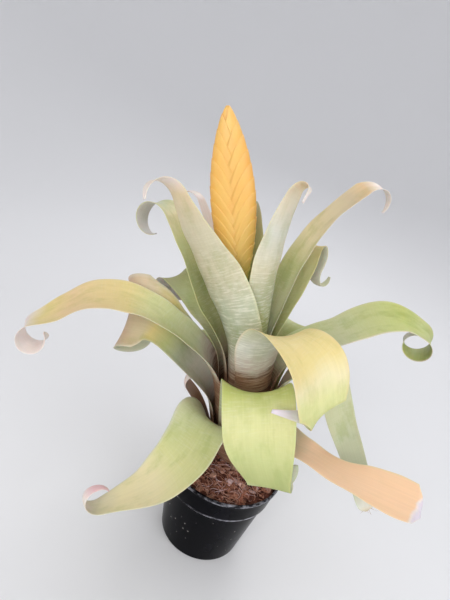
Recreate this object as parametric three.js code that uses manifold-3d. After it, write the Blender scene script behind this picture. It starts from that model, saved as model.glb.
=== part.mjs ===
// A potted bromeliad in flower. A rosette of strap leaves, nested by their sheaths, grows out of bark in a
// small plastic pot and leans a little to the left, and one flat yellow spike of overlapping bracts stands
// in the middle of it.
// Millimetres, +Z up, the origin in the middle of the pot's foot, the front of the plant towards -Y.

import * as THREE from 'three';
import { mergeVertices } from 'three/addons/utils/BufferGeometryUtils.js';
import Module from 'manifold-3d';

const wasm = await Module();
wasm.setup();

// Pot
const potHeight = 84;
const rimRadius = 52;
const bandRadius = 48.5;
const bandHeight = 21;
const shoulderRadius = 46.5;
const footRadius = 37;
const floorThickness = 2;
const wall = 1.4;
const lipDrop = 2.4;
const potSides = 48;

// Bark mix
const barkLevel = 77.2;
const chipCount = 44;
const clearance = 0.35;

// Rosette: where it leaves the bark, and how far its axis leans to the left
const heart = new THREE.Vector3(12, 0, 80);
const rosetteLean = 13;

// Stem, which carries the leaves and, drawn out thin, the flower spike
const stemRadius = 6.45;
const stemDepth = 34;
const stemSides = 12;

// Leaves
const bladeThickness = 0.8;
const sheathFoot = 7.4;
const footStep = 2.6;
const sheathTop = 62;
const outermost = 20;
const flareReach = 0.62;
const flareHeight = 0.4;
const footWidth = 0.4;
const flareWidth = 0.8;
const liftStart = 10;
const facesAcross = 4;
const pathSteps = 15;
const degreesPerStep = 30;
const tailStep = 11;
const tipWidth = 2.5;
const tipChannel = 12;
const slantStart = 0.72;
const usualTaper = 1.4;

// Flower spike
const spikeFoot = 150;
const spikeSway = -9.5;
const spikeLean = 7.7;
const spikeLength = 141;
const spikeHalfWidth = 16.5;
const spikeHalfDepth = 7;
const stalkRadius = 4;
const bractCount = 26;
const bractLength = 38;
const bractHalfWidth = 5.8;
const lowestBractTip = 26;
const coreShare = 0.93;
const bractShare = 0.96;

const radians = THREE.MathUtils.degToRad;
const mix = THREE.MathUtils.lerp;
const smoothstep = THREE.MathUtils.smoothstep;

// Every leaf faces one way round the axis, and its rank counts from the innermost sheath outwards.
// A row of its midrib holds: reach from the axis, height over the bark, sway to its left, width across,
// roll about its own line in degrees, and the radius of its channel.
// The tip curls on under the blade, or over it, from the first radius to the second, round a line across the
// blade that may be tilted towards the tip, and may end in a straight tail. The higher its taper, the later
// it narrows. A slant lays the last sections of the blade askew, so that it folds on an oblique line, and a
// channel is the tip's own.
const leaves = {
  leaf_behind_spike: {
    facing: 84, rank: 0,
    midrib: [[8.3, 62, 0, 18, 0, 8.3], [9.2, 100, 0, 23, 0, 9.2], [9.8, 118, 1, 23, 0, 10],
      [16, 160, 4, 24, 0, 24], [23, 210, 8, 13, 0, 30]],
    curl: { turn: 60, radius: [20, 14] },
  },
  leaf_inner_left: {
    facing: 166, rank: 1,
    midrib: [[9.7, 62, 0, 20, 0, 9.7], [11.2, 100, 0, 23, 0, 11.2], [13, 118, -1, 24, 0, 13.8],
      [31, 174, -12, 23, 0, 26], [53, 221, -17, 13, 0, 26]],
    curl: { turn: 120, radius: [12, 8] },
  },
  leaf_upright_right: {
    facing: -40, rank: 2,
    midrib: [[10.9, 62, 0, 26, 0, 10.9], [12.1, 100, 0, 28, 0, 12.1], [12.6, 118, 0, 29, 0, 12.6],
      [13.4, 149, -1, 31, 0, 17], [14.4, 180, -1.5, 31, 0, 26], [17.5, 213, 2, 25, 0, 30],
      [22, 239, 9, 16, 0, 30]],
    curl: { turn: 165, radius: [6, 6], tail: 9, tilt: -16, taper: 0.6 },
  },
  leaf_upper_right: {
    facing: 28, rank: 3,
    midrib: [[12.3, 62, 0, 26, 0, 12.3], [13.9, 100, 0, 26, 0, 13.9], [15.1, 118, 1, 27, 0, 15.3],
      [25, 150, 5, 34, 0, 26], [43, 190, 8, 28, 0, 36], [64, 221, 3, 23, 0, 40],
      [82, 238, -3, 25, 0, 40]],
    curl: { turn: 165, radius: [14, 12], taper: 0.8 },
  },
  leaf_upright_left: {
    facing: -125, rank: 4,
    midrib: [[13.5, 62, 0, 32, 0, 13.5], [15, 100, 0, 38, 0, 15], [15.8, 118, 0, 42, 0, 17],
      [20, 150, -6, 48, 0, 36], [29, 187, -21, 43, 0, 50], [38, 214, -32, 27, 0, 50],
      [43, 231, -38, 17, 0, 50]],
    curl: { turn: 160, radius: [16, 12] },
  },
  leaf_folded_back: {
    facing: 38, rank: 5,
    midrib: [[14.8, 62, 0, 30, 0, 14.8], [16.4, 100, 0, 32, 0, 16.4], [18.4, 117, 1, 33, 0, 20],
      [43, 154, 9, 38, 0, 40], [61, 181, 13, 32, 0, 40], [69, 189, 14, 26, 0, 30],
      [73, 184, 13, 20, 0, 30], [70, 169, 11, 14, 0, 30]],
    curl: { turn: 190, radius: [11, 9], over: true },
  },
  leaf_left_hook: {
    facing: 160, rank: 6,
    midrib: [[16.1, 62, 0, 32, 0, 16.1], [17.7, 96, 0, 33, 0, 17.7], [20.8, 114, 0, 36, 0, 22],
      [38, 144, -1, 42, 0, 40], [54, 177, -2, 37, 0, 50], [72, 207, -4, 33, 0, 50]],
    curl: { turn: 270, radius: [21, 6], taper: 0.9 },
  },
  leaf_back: {
    facing: 92, rank: 7,
    midrib: [[17.5, 62, 0, 26, 0, 17.5], [20, 92, 0, 29, 0, 20], [24.8, 110, 0, 29, 0, 25.6],
      [44, 135, 0, 42, 0, 44], [66, 147, 0, 44, 0, 70], [90, 140, 0, 40, 0, 70], [110, 114, 0, 34, 0, 60],
      [118, 78, 0, 26, 0, 40]],
    curl: { turn: 60, radius: [24, 16] },
  },
  leaf_front_arch: {
    facing: -58, rank: 8,
    midrib: [[18.7, 62, 0, 36, 0, 18.7], [20.6, 92, 0, 38, 0, 20.6], [23, 110, -1, 40, 0, 24],
      [29, 130, -3, 44, -4, 38], [40, 144, -1, 47, -9, 60], [54, 145, 4, 49, -8, 80],
      [66, 136, 11, 48, -3, 80], [73, 118, 16, 45, 0, 90], [77, 104, 16, 39, 0, 140]],
    curl: { turn: 175, radius: [6, 4], tail: 28, slant: -14, tilt: -22, taper: 0.6, channel: 60 },
  },
  leaf_left_back: {
    facing: 148, rank: 9,
    midrib: [[20, 62, 0, 36, 0, 20], [21.8, 88, 0, 36, 0, 22], [25.5, 104, -3, 36, 0, 27],
      [38, 120, -8, 38, -10, 40], [54, 131, -13, 40, -18, 50], [74, 141, -16, 40, -14, 50],
      [95, 145, -18, 36, -6, 40]],
    curl: { turn: 190, radius: [9, 8], tail: 24, taper: 2 },
  },
  leaf_right_curled: {
    facing: 14, rank: 10,
    midrib: [[21.3, 60, 0, 38, 0, 21.3], [23.3, 84, 0, 38, 0, 23.3], [28, 99, 1, 37, 0, 30],
      [42, 112, 6, 36, 4, 42], [58, 118, 9, 36, 8, 60], [78, 125, 9, 37, 12, 70],
      [106, 137, 8, 37, 18, 70], [128, 138, 3, 34, 21, 60], [144, 130, -4, 30, 22, 50]],
    curl: { turn: 350, radius: [11.5, 8], taper: 1.1 },
  },
  leaf_left_long: {
    facing: -172, rank: 11,
    midrib: [[22.6, 58, 0, 36, 0, 22.6], [24.6, 80, 0, 37, 0, 25], [29, 98, 2, 39, 0, 31],
      [40, 117, 5, 42, 0, 46], [64, 138, 3, 44, -3, 70], [94, 151, 0, 43, -8, 80],
      [119, 153, 4, 41, -12, 70], [141, 143, 9, 36, -12, 60], [160, 136, 14, 27, -2, 50]],
    curl: { turn: 280, radius: [9.5, 7], tilt: 8, taper: 3 },
  },
  leaf_back_right: {
    facing: 54, rank: 12,
    midrib: [[23.9, 56, 0, 38, 0, 23.9], [26.5, 76, 0, 38, 0, 27.5], [34, 94, 0, 40, 0, 38],
      [48, 110, 0, 42, 0, 56], [64, 116, 0, 41, 0, 70], [84, 105, 0, 38, 0, 60], [98, 73, 0, 30, 0, 40]],
    curl: { turn: 60, radius: [22, 14] },
  },
  leaf_right_hanging: {
    facing: -14, rank: 13,
    midrib: [[25.2, 54, 0, 36, 0, 25.2], [28, 72, 0, 36, 0, 29], [33, 90, 0, 37, 0, 36],
      [41, 103, 3, 37, 4, 46], [53, 108, 6, 37, 18, 60], [68, 92, 8, 31, 40, 60], [79, 66, 7, 24, 52, 50],
      [92, 40, 4, 20, 58, 40], [105, 14, -2, 17, 60, 30]],
    curl: { turn: 30, radius: [40, 30], taper: 3 },
  },
  leaf_left_rolled: {
    facing: 174, rank: 14,
    midrib: [[26.5, 52, 0, 38, 0, 26.5], [29.4, 70, 0, 40, 0, 30.5], [36, 86, 1, 42, -8, 38],
      [47, 100, 1, 43, -14, 50], [57, 113, 1, 43, -20, 60], [67, 123, 1, 44, -28, 60],
      [77, 131, 2, 50, -38, 80], [88, 134, 4, 63, -44, 110]],
    curl: { turn: 250, radius: [10, 9], tilt: -4, taper: 7 },
  },
  leaf_back_left: {
    facing: 120, rank: 15,
    midrib: [[27.8, 50, 0, 40, 0, 27.8], [31.5, 68, 0, 41, 0, 33], [39, 83, 0, 43, 0, 44],
      [53, 95, 0, 44, 0, 60], [71, 98, 0, 42, 0, 70], [92, 84, 0, 36, 0, 60], [106, 50, 0, 28, 0, 40]],
    curl: { turn: 60, radius: [22, 14] },
  },
  leaf_front: {
    facing: -82, rank: 16,
    midrib: [[28.6, 50, 0, 44, 0, 28.6], [31, 74, 1, 48, 0, 32], [35, 94, 3, 53, 0, 37],
      [42, 101, 4, 54, 0, 42], [51, 92, 5, 54, 0, 48], [57, 73, 7, 51, 0, 60], [60, 50, 12, 42, 0, 90],
      [61, 36, 17, 33, 0, 150]],
    curl: { turn: 180, radius: [4, 4], tail: 20, slant: 32, taper: 5, channel: 150 },
  },
  leaf_front_right: {
    facing: -33, rank: 17,
    midrib: [[27.5, 40, 0, 40, 0, 29], [36, 51, -2, 38, -4, 40], [47, 53, -5, 38, -6, 56],
      [62, 55, -6, 34, -10, 70], [86, 54, -7, 28, -6, 70], [110, 54, -4, 30, 8, 60],
      [130, 52, 1, 33, 16, 50], [142, 51, 4, 30, 18, 40]],
    curl: { turn: 110, radius: [5, 4], taper: 0.7 },
  },
  leaf_front_left: {
    facing: -130, rank: 18,
    midrib: [[26.5, 38, 0, 44, 0, 30], [32, 52, 5, 50, 0, 40], [39, 66, 6, 56, 0, 50],
      [46, 71, 7, 54, 0, 60], [62, 61, 10, 50, 0, 70], [82, 45, 8, 44, 0, 60], [98, 35, 2, 33, 0, 60],
      [112, 31, -4, 23, 0, 50], [126, 28.5, -9, 15, 0, 40]],
    curl: { turn: 260, radius: [10, 8], taper: 0.8, over: true },
  },
  leaf_dried: {
    facing: 178, rank: 19,
    midrib: [[28, 36, 1, 16, 0, 30], [33, 52, 3, 18, 0, 26], [40, 68, 6, 18, 0, 20],
      [47, 82, 10, 14, 0, 16]],
    curl: { turn: 130, radius: [6, 4], over: true },
  },
  leaf_back_low: {
    facing: 84, rank: 20,
    midrib: [[29, 36, 0, 42, 0, 32], [36, 51, 0, 43, 0, 42], [46, 64, 0, 45, 0, 56],
      [61, 71, 0, 46, 0, 70], [79, 68, 0, 42, 0, 70], [98, 50, 0, 36, 0, 60], [114, 22, 0, 26, 0, 40]],
    curl: { turn: 40, radius: [24, 16] },
  },
};

// The cubic spline through rows of numbers, with no bend at its ends, knotted by the distance between points.
function splineThrough(rows) {
  const knots = [0];
  for (let i = 1; i < rows.length; i++) {
    const [a, b] = [rows[i - 1], rows[i]];
    knots.push(knots[i - 1] + Math.hypot(b[0] - a[0], b[1] - a[1], b[2] - a[2]));
  }
  const last = rows.length - 1;
  const bends = rows[0].map((_, column) => {
    const upper = new Array(rows.length).fill(0);
    const bend = new Array(rows.length).fill(0);
    for (let i = 1; i < last; i++) {
      const before = knots[i] - knots[i - 1];
      const after = knots[i + 1] - knots[i];
      const step = (rows[i + 1][column] - rows[i][column]) / after;
      const change = step - (rows[i][column] - rows[i - 1][column]) / before;
      const pivot = 2 * (before + after) - before * upper[i - 1];
      upper[i] = after / pivot;
      bend[i] = (6 * change - before * bend[i - 1]) / pivot;
    }
    for (let i = last - 1; i > 0; i--) {
      bend[i] -= upper[i] * bend[i + 1];
    }
    return bend;
  });
  return (share) => {
    const at = share * knots[last];
    let i = 0;
    while (i < last - 1 && at > knots[i + 1]) {
      i++;
    }
    const span = knots[i + 1] - knots[i];
    const [a, b] = [(knots[i + 1] - at) / span, (at - knots[i]) / span];
    return rows[0].map((_, column) => {
      const [low, high] = [bends[column][i], bends[column][i + 1]];
      const bow = ((a ** 3 - a) * low + (b ** 3 - b) * high) * span * span / 6;
      return a * rows[i][column] + b * rows[i + 1][column] + bow;
    });
  };
}

// The stations of a leaf from its sheath to its tip: a point of the midrib, the way across to its left, the
// way its margins lift, its width and the radius of its channel. A sheath lies level round the axis, so its
// margins lift straight towards the axis.
function leafStations({ facing, rank, midrib, curl }) {
  const angle = radians(facing);
  const out = new THREE.Vector3(Math.cos(angle), Math.sin(angle), 0);
  const left = new THREE.Vector3(-Math.sin(angle), Math.cos(angle), 0);
  const foot = footStep * (outermost - rank);
  const [[reach, height, , width, , channel]] = midrib;
  const rows = [
    [sheathFoot, foot, 0, width * footWidth, 0, sheathFoot],
    [mix(sheathFoot, reach, flareReach), mix(foot, height, flareHeight), 0, width * flareWidth, 0,
      mix(sheathFoot, channel, flareReach)],
    ...midrib,
  ];
  const spline = splineThrough(rows);
  const place = (row) => out.clone().multiplyScalar(row[0]).addScaledVector(left, row[2]).setZ(row[1]);
  const stations = [];
  let free = 0;
  for (let i = 0; i <= pathSteps; i++) {
    const share = i / pathSteps;
    const row = spline(share);
    const ahead = Math.min(share + 1e-3, 1);
    const along = place(spline(ahead)).sub(place(spline(ahead - 1e-3))).normalize();
    const across = left.clone().addScaledVector(along, -left.dot(along)).normalize()
      .applyAxisAngle(along, radians(row[4]));
    const face = along.clone().cross(across).normalize();
    across.applyAxisAngle(face, -radians(curl.slant ?? 0) * smoothstep(share, slantStart, 1));
    free = Math.max(free, smoothstep(row[1], foot + liftStart, sheathTop));
    const lift = out.clone().negate().lerp(along.clone().cross(across), free).normalize();
    stations.push({ point: place(row), along, across, lift, width: row[3], channel: row[5] });
  }
  const end = stations[pathSteps];
  const steps = Math.ceil(curl.turn / degreesPerStep);
  const turn = radians(curl.turn) * (curl.over ? -1 : 1);
  const face = end.along.clone().cross(end.across).normalize();
  const axis = end.across.clone().applyAxisAngle(face, -radians(curl.tilt ?? 0));
  const tailSteps = Math.ceil((curl.tail ?? 0) / tailStep);
  let { point } = end;
  for (let i = 1; i <= steps + tailSteps; i++) {
    const turned = turn * Math.min(i / steps, 1);
    const along = end.along.clone().applyAxisAngle(axis, turned);
    const across = end.across.clone().applyAxisAngle(axis, turned);
    if (i > steps) {
      point = point.clone().addScaledVector(along, curl.tail / tailSteps);
    } else {
      const chord = end.along.clone().applyAxisAngle(axis, turned - turn * 0.5 / steps);
      const radius = mix(curl.radius[0], curl.radius[1], (i - 0.5) / steps);
      point = point.clone().addScaledVector(chord, radius * Math.abs(turn) / steps);
    }
    const share = i / (steps + tailSteps);
    stations.push({
      point, along, across, lift: along.clone().cross(across).normalize(),
      width: mix(end.width, tipWidth, share ** (curl.taper ?? usualTaper)),
      channel: mix(end.channel, curl.channel ?? tipChannel, share),
    });
  }
  return stations;
}

// A thin blade. Its middle surface is an arc of the channel's radius at every station, and both faces lie
// half a thickness off it along its normals.
function bladeGeometry(stations) {
  const middle = stations.map(({ point, across, lift, width, channel }) => {
    const row = [];
    for (let j = 0; j <= facesAcross; j++) {
      const turn = (j / facesAcross - 0.5) * width / channel;
      row.push(point.clone().addScaledVector(across, channel * Math.sin(turn))
        .addScaledVector(lift, channel * (1 - Math.cos(turn))));
    }
    return row;
  });
  const end = stations.length - 1;
  const positions = [];
  for (const side of [1, -1]) {
    for (let i = 0; i <= end; i++) {
      for (let j = 0; j <= facesAcross; j++) {
        const along = middle[Math.min(i + 1, end)][j].clone().sub(middle[Math.max(i - 1, 0)][j]);
        const across = middle[i][Math.min(j + 1, facesAcross)].clone().sub(middle[i][Math.max(j - 1, 0)]);
        const normal = along.cross(across).normalize();
        positions.push(...middle[i][j].clone().addScaledVector(normal, side * bladeThickness / 2));
      }
    }
  }
  const row = facesAcross + 1;
  const under = stations.length * row;
  const index = [];
  const quad = (a, b, c, d) => index.push(a, b, c, a, c, d);
  for (let i = 0; i < end; i++) {
    for (let j = 0; j < facesAcross; j++) {
      const [a, b] = [i * row + j, (i + 1) * row + j];
      quad(a, b, b + 1, a + 1);
      index.push(under + a, under + b + 1, under + b, under + a, under + a + 1, under + b + 1);
    }
    const [a, b] = [i * row, (i + 1) * row];
    quad(under + a, under + b, b, a);
    quad(a + facesAcross, b + facesAcross, under + b + facesAcross, under + a + facesAcross);
  }
  const tip = end * row;
  for (let j = 0; j < facesAcross; j++) {
    quad(j, j + 1, under + j + 1, under + j);
    quad(tip + j + 1, tip + j, under + tip + j, under + tip + j + 1);
  }
  const geometry = new THREE.BufferGeometry();
  geometry.setAttribute('position', new THREE.Float32BufferAttribute(positions, 3));
  geometry.setIndex(index);
  return geometry;
}

// A three.js geometry as a solid for joining and cutting, and back again.
function solidOf(geometry) {
  const bare = geometry.clone();
  bare.deleteAttribute('normal');
  bare.deleteAttribute('uv');
  const merged = mergeVertices(bare, 1e-4);
  return new wasm.Manifold(new wasm.Mesh({
    numProp: 3,
    vertProperties: new Float32Array(merged.attributes.position.array),
    triVerts: new Uint32Array(merged.index.array),
  }));
}

function geometryOf(solid) {
  const mesh = solid.getMesh();
  const geometry = new THREE.BufferGeometry();
  geometry.setAttribute('position', new THREE.BufferAttribute(new Float32Array(mesh.vertProperties), 3));
  geometry.setIndex(new THREE.BufferAttribute(new Uint32Array(mesh.triVerts), 1));
  return geometry;
}

// Numbers from 0 to 1 that come out the same on every run.
function seeded(seed) {
  let state = seed;
  return () => {
    state = (state * 1664525 + 1013904223) % 4294967296;
    return state / 4294967296;
  };
}

function lathe(profile, sides) {
  const geometry = new THREE.LatheGeometry(profile.map(([r, z]) => new THREE.Vector2(r, z)), sides);
  return geometry.rotateX(Math.PI / 2);
}

const material = (color, roughness) => new THREE.MeshStandardMaterial({ color, roughness, metalness: 0 });

function named(name, geometry, finish) {
  const mesh = new THREE.Mesh(geometry, finish);
  mesh.name = name;
  return mesh;
}

// The pot's wall steps out at the band under the rim and ends in a thicker lip.
function makePot() {
  const bandFoot = potHeight - bandHeight;
  return geometryOf(solidOf(lathe([
    [0, 0], [footRadius - 1, 0], [footRadius, 1], [shoulderRadius, bandFoot - 1.2], [bandRadius, bandFoot],
    [rimRadius - 1.2, potHeight - lipDrop - 0.8], [rimRadius, potHeight - lipDrop],
    [rimRadius, potHeight - 0.6], [rimRadius - 0.6, potHeight], [rimRadius - wall - 0.6, potHeight],
    [bandRadius - wall, bandFoot + wall], [shoulderRadius - wall, bandFoot - 1.2],
    [footRadius - wall, floorThickness + 1], [footRadius - wall - 1, floorThickness], [0, floorThickness],
  ], potSides)));
}

// Stem sections along the rosette's axis: height, sway to the right and radius.
const stemSections = [
  [-stemDepth, 0, stemRadius - 2], [-stemDepth + 6, 0, stemRadius], [54, 0, stemRadius], [74, 0, 5],
  [100, -2, 4.4], [spikeFoot - clearance - 0.6, spikeSway, stalkRadius],
];

function makeStem() {
  const positions = [];
  const index = [];
  const top = (stemSections.length - 1) * stemSides;
  stemSections.forEach(([height, sway, radius], i) => {
    for (let j = 0; j < stemSides; j++) {
      const turn = 2 * Math.PI * j / stemSides;
      positions.push(sway + radius * Math.cos(turn), radius * Math.sin(turn), height);
      const next = (j + 1) % stemSides;
      const [a, b] = [i * stemSides, (i + 1) * stemSides];
      if (a < top) index.push(a + j, a + next, b + next, a + j, b + next, b + j);
    }
  });
  for (let j = 1; j < stemSides - 1; j++) index.push(0, j + 1, j, top, top + j, top + j + 1);
  const geometry = new THREE.BufferGeometry();
  geometry.setAttribute('position', new THREE.Float32BufferAttribute(positions, 3));
  geometry.setIndex(index);
  return geometry;
}

// The bark fills the pot up to its level, with loose chips bedded in its top, a little clear of the wall,
// and has a plain hole for the stem.
function makeBark() {
  const bandFoot = potHeight - bandHeight;
  const gap = wall + clearance + 0.1;
  const fill = [
    [0, floorThickness + clearance], [footRadius - gap - 1, floorThickness + clearance],
    [footRadius - gap, floorThickness + 1.4], [shoulderRadius - gap, bandFoot - 1.2],
    [bandRadius - gap, bandFoot + wall], [rimRadius - gap - 1.5, barkLevel], [0, barkLevel],
  ];
  const random = seeded(11);
  const between = (low, high) => mix(low, high, random());
  const chips = [];
  while (chips.length < chipCount) {
    const [reach, angle] = [46 * Math.sqrt(random()), 2 * Math.PI * random()];
    const level = barkLevel + between(-0.6, 0.4);
    const place = new THREE.Vector3(reach * Math.cos(angle), reach * Math.sin(angle), level);
    const chip = new THREE.BoxGeometry(between(6, 13), between(4, 8), between(2, 3.6));
    chip.rotateX(between(-0.35, 0.35)).rotateY(between(-0.35, 0.35)).rotateZ(between(0, Math.PI));
    if (Math.hypot(place.x - heart.x, place.y) < 15) continue;
    chips.push(solidOf(chip.translate(place.x, place.y, place.z)));
  }
  const wallLine = rimRadius - gap - 2.2;
  const trim = new THREE.CylinderGeometry(wallLine, wallLine, 30, potSides).rotateX(Math.PI / 2)
    .translate(0, 0, barkLevel + 12);
  const depth = stemDepth + clearance;
  const hole = new THREE.CylinderGeometry(stemRadius + clearance, stemRadius + clearance, depth + 20, 24)
    .rotateX(Math.PI / 2).translate(0, 0, (20 - depth) / 2).rotateY(-radians(rosetteLean))
    .translate(heart.x, heart.y, heart.z);
  const top = wasm.Manifold.union(chips).intersect(solidOf(trim));
  return geometryOf(solidOf(lathe(fill, potSides)).add(top).subtract(solidOf(hole)));
}

// The half width of the spike at a height over its foot.
function spikeReach(height) {
  return spikeHalfWidth * Math.sin(Math.PI * (height / spikeLength) ** 1.15) ** 0.8;
}

// The spike: a flat core, and bracts in two ranks that overlap like scales up both its edges.
function makeSpike() {
  const rows = 12;
  const profile = [[0, 0], [stalkRadius / spikeHalfWidth, 0]];
  for (let i = 1; i < rows; i++) {
    const height = i / rows * spikeLength;
    profile.push([Math.max(coreShare * spikeReach(height), 0.6 * stalkRadius) / spikeHalfWidth, height]);
  }
  profile.push([0, spikeLength]);
  const core = lathe(profile, 16).scale(spikeHalfWidth, spikeHalfDepth, 1);
  const bracts = [];
  for (let i = 0; i < bractCount; i++) {
    const side = i % 2 ? 1 : -1;
    const tip = mix(lowestBractTip, spikeLength - 1, i / (bractCount - 1));
    const size = mix(0.45, 1, spikeReach(tip) / spikeHalfWidth);
    const root = [side * 1.5, tip - bractLength * size];
    const reach = side * bractShare * spikeReach(tip);
    const length = Math.hypot(reach - root[0], tip - root[1]);
    const bract = new THREE.SphereGeometry(1, 8, 6).rotateX(Math.PI / 2)
      .scale(bractHalfWidth * size, spikeHalfDepth * mix(0.5, 1, size) * 0.95, length / 2);
    bract.rotateY(Math.atan2(reach - root[0], tip - root[1]));
    bracts.push(solidOf(bract.translate((root[0] + reach) / 2, 0, (root[1] + tip) / 2)));
  }
  const above = new THREE.BoxGeometry(80, 80, spikeLength + 10).translate(0, 0, (spikeLength + 10) / 2);
  return geometryOf(solidOf(core).add(wasm.Manifold.union(bracts)).intersect(solidOf(above)));
}

const group = new THREE.Group();
group.add(named('pot', makePot(), material(0x14141a, 0.35)));
group.add(named('bark', makeBark(), material(0x6b3f2c, 0.95)));

const rosette = new THREE.Group();
rosette.position.copy(heart);
rosette.rotation.y = -radians(rosetteLean);
group.add(rosette);
const leafFinish = material(0xb9c178, 0.5);
for (const [name, leaf] of Object.entries(leaves)) {
  rosette.add(named(name, bladeGeometry(leafStations(leaf)), leafFinish));
}
rosette.add(named('stem', makeStem(), material(0xa9a46a, 0.6)));
const spike = named('spike', makeSpike(), material(0xf2a63a, 0.5));
spike.position.set(spikeSway, 0, spikeFoot);
spike.rotation.y = -radians(spikeLean);
rosette.add(spike);

export default group;
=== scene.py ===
# A potted bromeliad in flower: curled strap leaves, one flat yellow spike and a black nursery pot with bark.
# The leaf rows, the spike and the pot repeat the CAD model's own sizes, in millimetres.
import math

import bmesh
import bpy
import numpy as np
from mathutils import Matrix, Vector


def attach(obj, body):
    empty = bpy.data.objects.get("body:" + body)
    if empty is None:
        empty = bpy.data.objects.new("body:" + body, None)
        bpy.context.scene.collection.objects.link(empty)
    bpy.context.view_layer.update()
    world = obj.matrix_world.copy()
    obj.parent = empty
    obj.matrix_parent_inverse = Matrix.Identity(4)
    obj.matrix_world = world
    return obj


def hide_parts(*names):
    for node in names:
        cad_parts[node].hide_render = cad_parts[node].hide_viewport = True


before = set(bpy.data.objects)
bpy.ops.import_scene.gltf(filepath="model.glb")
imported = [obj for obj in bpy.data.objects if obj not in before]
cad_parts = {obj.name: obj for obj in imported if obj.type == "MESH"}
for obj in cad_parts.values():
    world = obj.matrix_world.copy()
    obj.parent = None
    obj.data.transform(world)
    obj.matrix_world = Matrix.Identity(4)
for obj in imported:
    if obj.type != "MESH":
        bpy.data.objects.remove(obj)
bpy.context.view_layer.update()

# The camera looks down a little and is rolled, as it was for the photo. Lens and sensor are in millimetres.
camera = {"place": (-0.043, -0.317, 0.353), "pitch": 22, "roll": 18, "lens": 27.06, "sensor": 36,
          "nearest": 0.01}


def makeCamera():
    # looks along Y and down by the pitch, then is turned about its own view by the roll
    pitch, roll = math.radians(camera["pitch"]), math.radians(camera["roll"])
    forward = Vector((0, math.cos(pitch), -math.sin(pitch)))
    upright = Vector((0, math.sin(pitch), math.cos(pitch)))
    viewUp = upright * math.cos(roll) - Vector((1, 0, 0)) * math.sin(roll)
    data = bpy.data.cameras.new("photoCamera")
    data.lens = camera["lens"]
    data.sensor_width = camera["sensor"]
    data.clip_start = camera["nearest"]
    made = bpy.data.objects.new("photoCamera", data)
    bpy.context.collection.objects.link(made)
    turn = Matrix((forward.cross(viewUp), viewUp, -forward)).transposed().to_4x4()
    made.matrix_world = Matrix.Translation(camera["place"]) @ turn
    bpy.context.scene.camera = made
    bpy.context.scene.view_settings.view_transform = "Standard"


makeCamera()
print("camera is set")

# Colours as they look on a screen, from 0 to 255.
palette = {
    "darkBrown": (84, 58, 44), "brown": (138, 104, 80), "tan": (190, 160, 134), "mauve": (194, 166, 156),
    "darkGreen": (104, 122, 66), "olive": (150, 150, 98), "green": (160, 168, 108),
    "brightGreen": (184, 192, 110), "lightGreen": (190, 196, 134), "paleGreen": (196, 200, 158),
    "greyGreen": (170, 174, 142), "silverGreen": (186, 192, 166), "silver": (206, 206, 192),
    "greyLavender": (188, 184, 182), "paleYellow": (210, 210, 150), "yellow": (224, 206, 142),
    "cream": (224, 214, 170), "beige": (210, 194, 160), "sand": (202, 196, 168),
    "peach": (228, 200, 154), "salmon": (240, 200, 162), "pink": (222, 186, 188),
    "pinkWhite": (230, 218, 212), "lilac": (216, 206, 216),
}


def linear(colour):
    # a screen colour, or one of the palette by name, as light: the sRGB curve undone
    tone = np.array(palette[colour] if isinstance(colour, str) else colour) / 255
    light = np.where(tone <= 0.04045, tone / 12.92, ((tone + 0.055) / 1.055) ** 2.4)
    return (*light.tolist(), 1)


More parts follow.
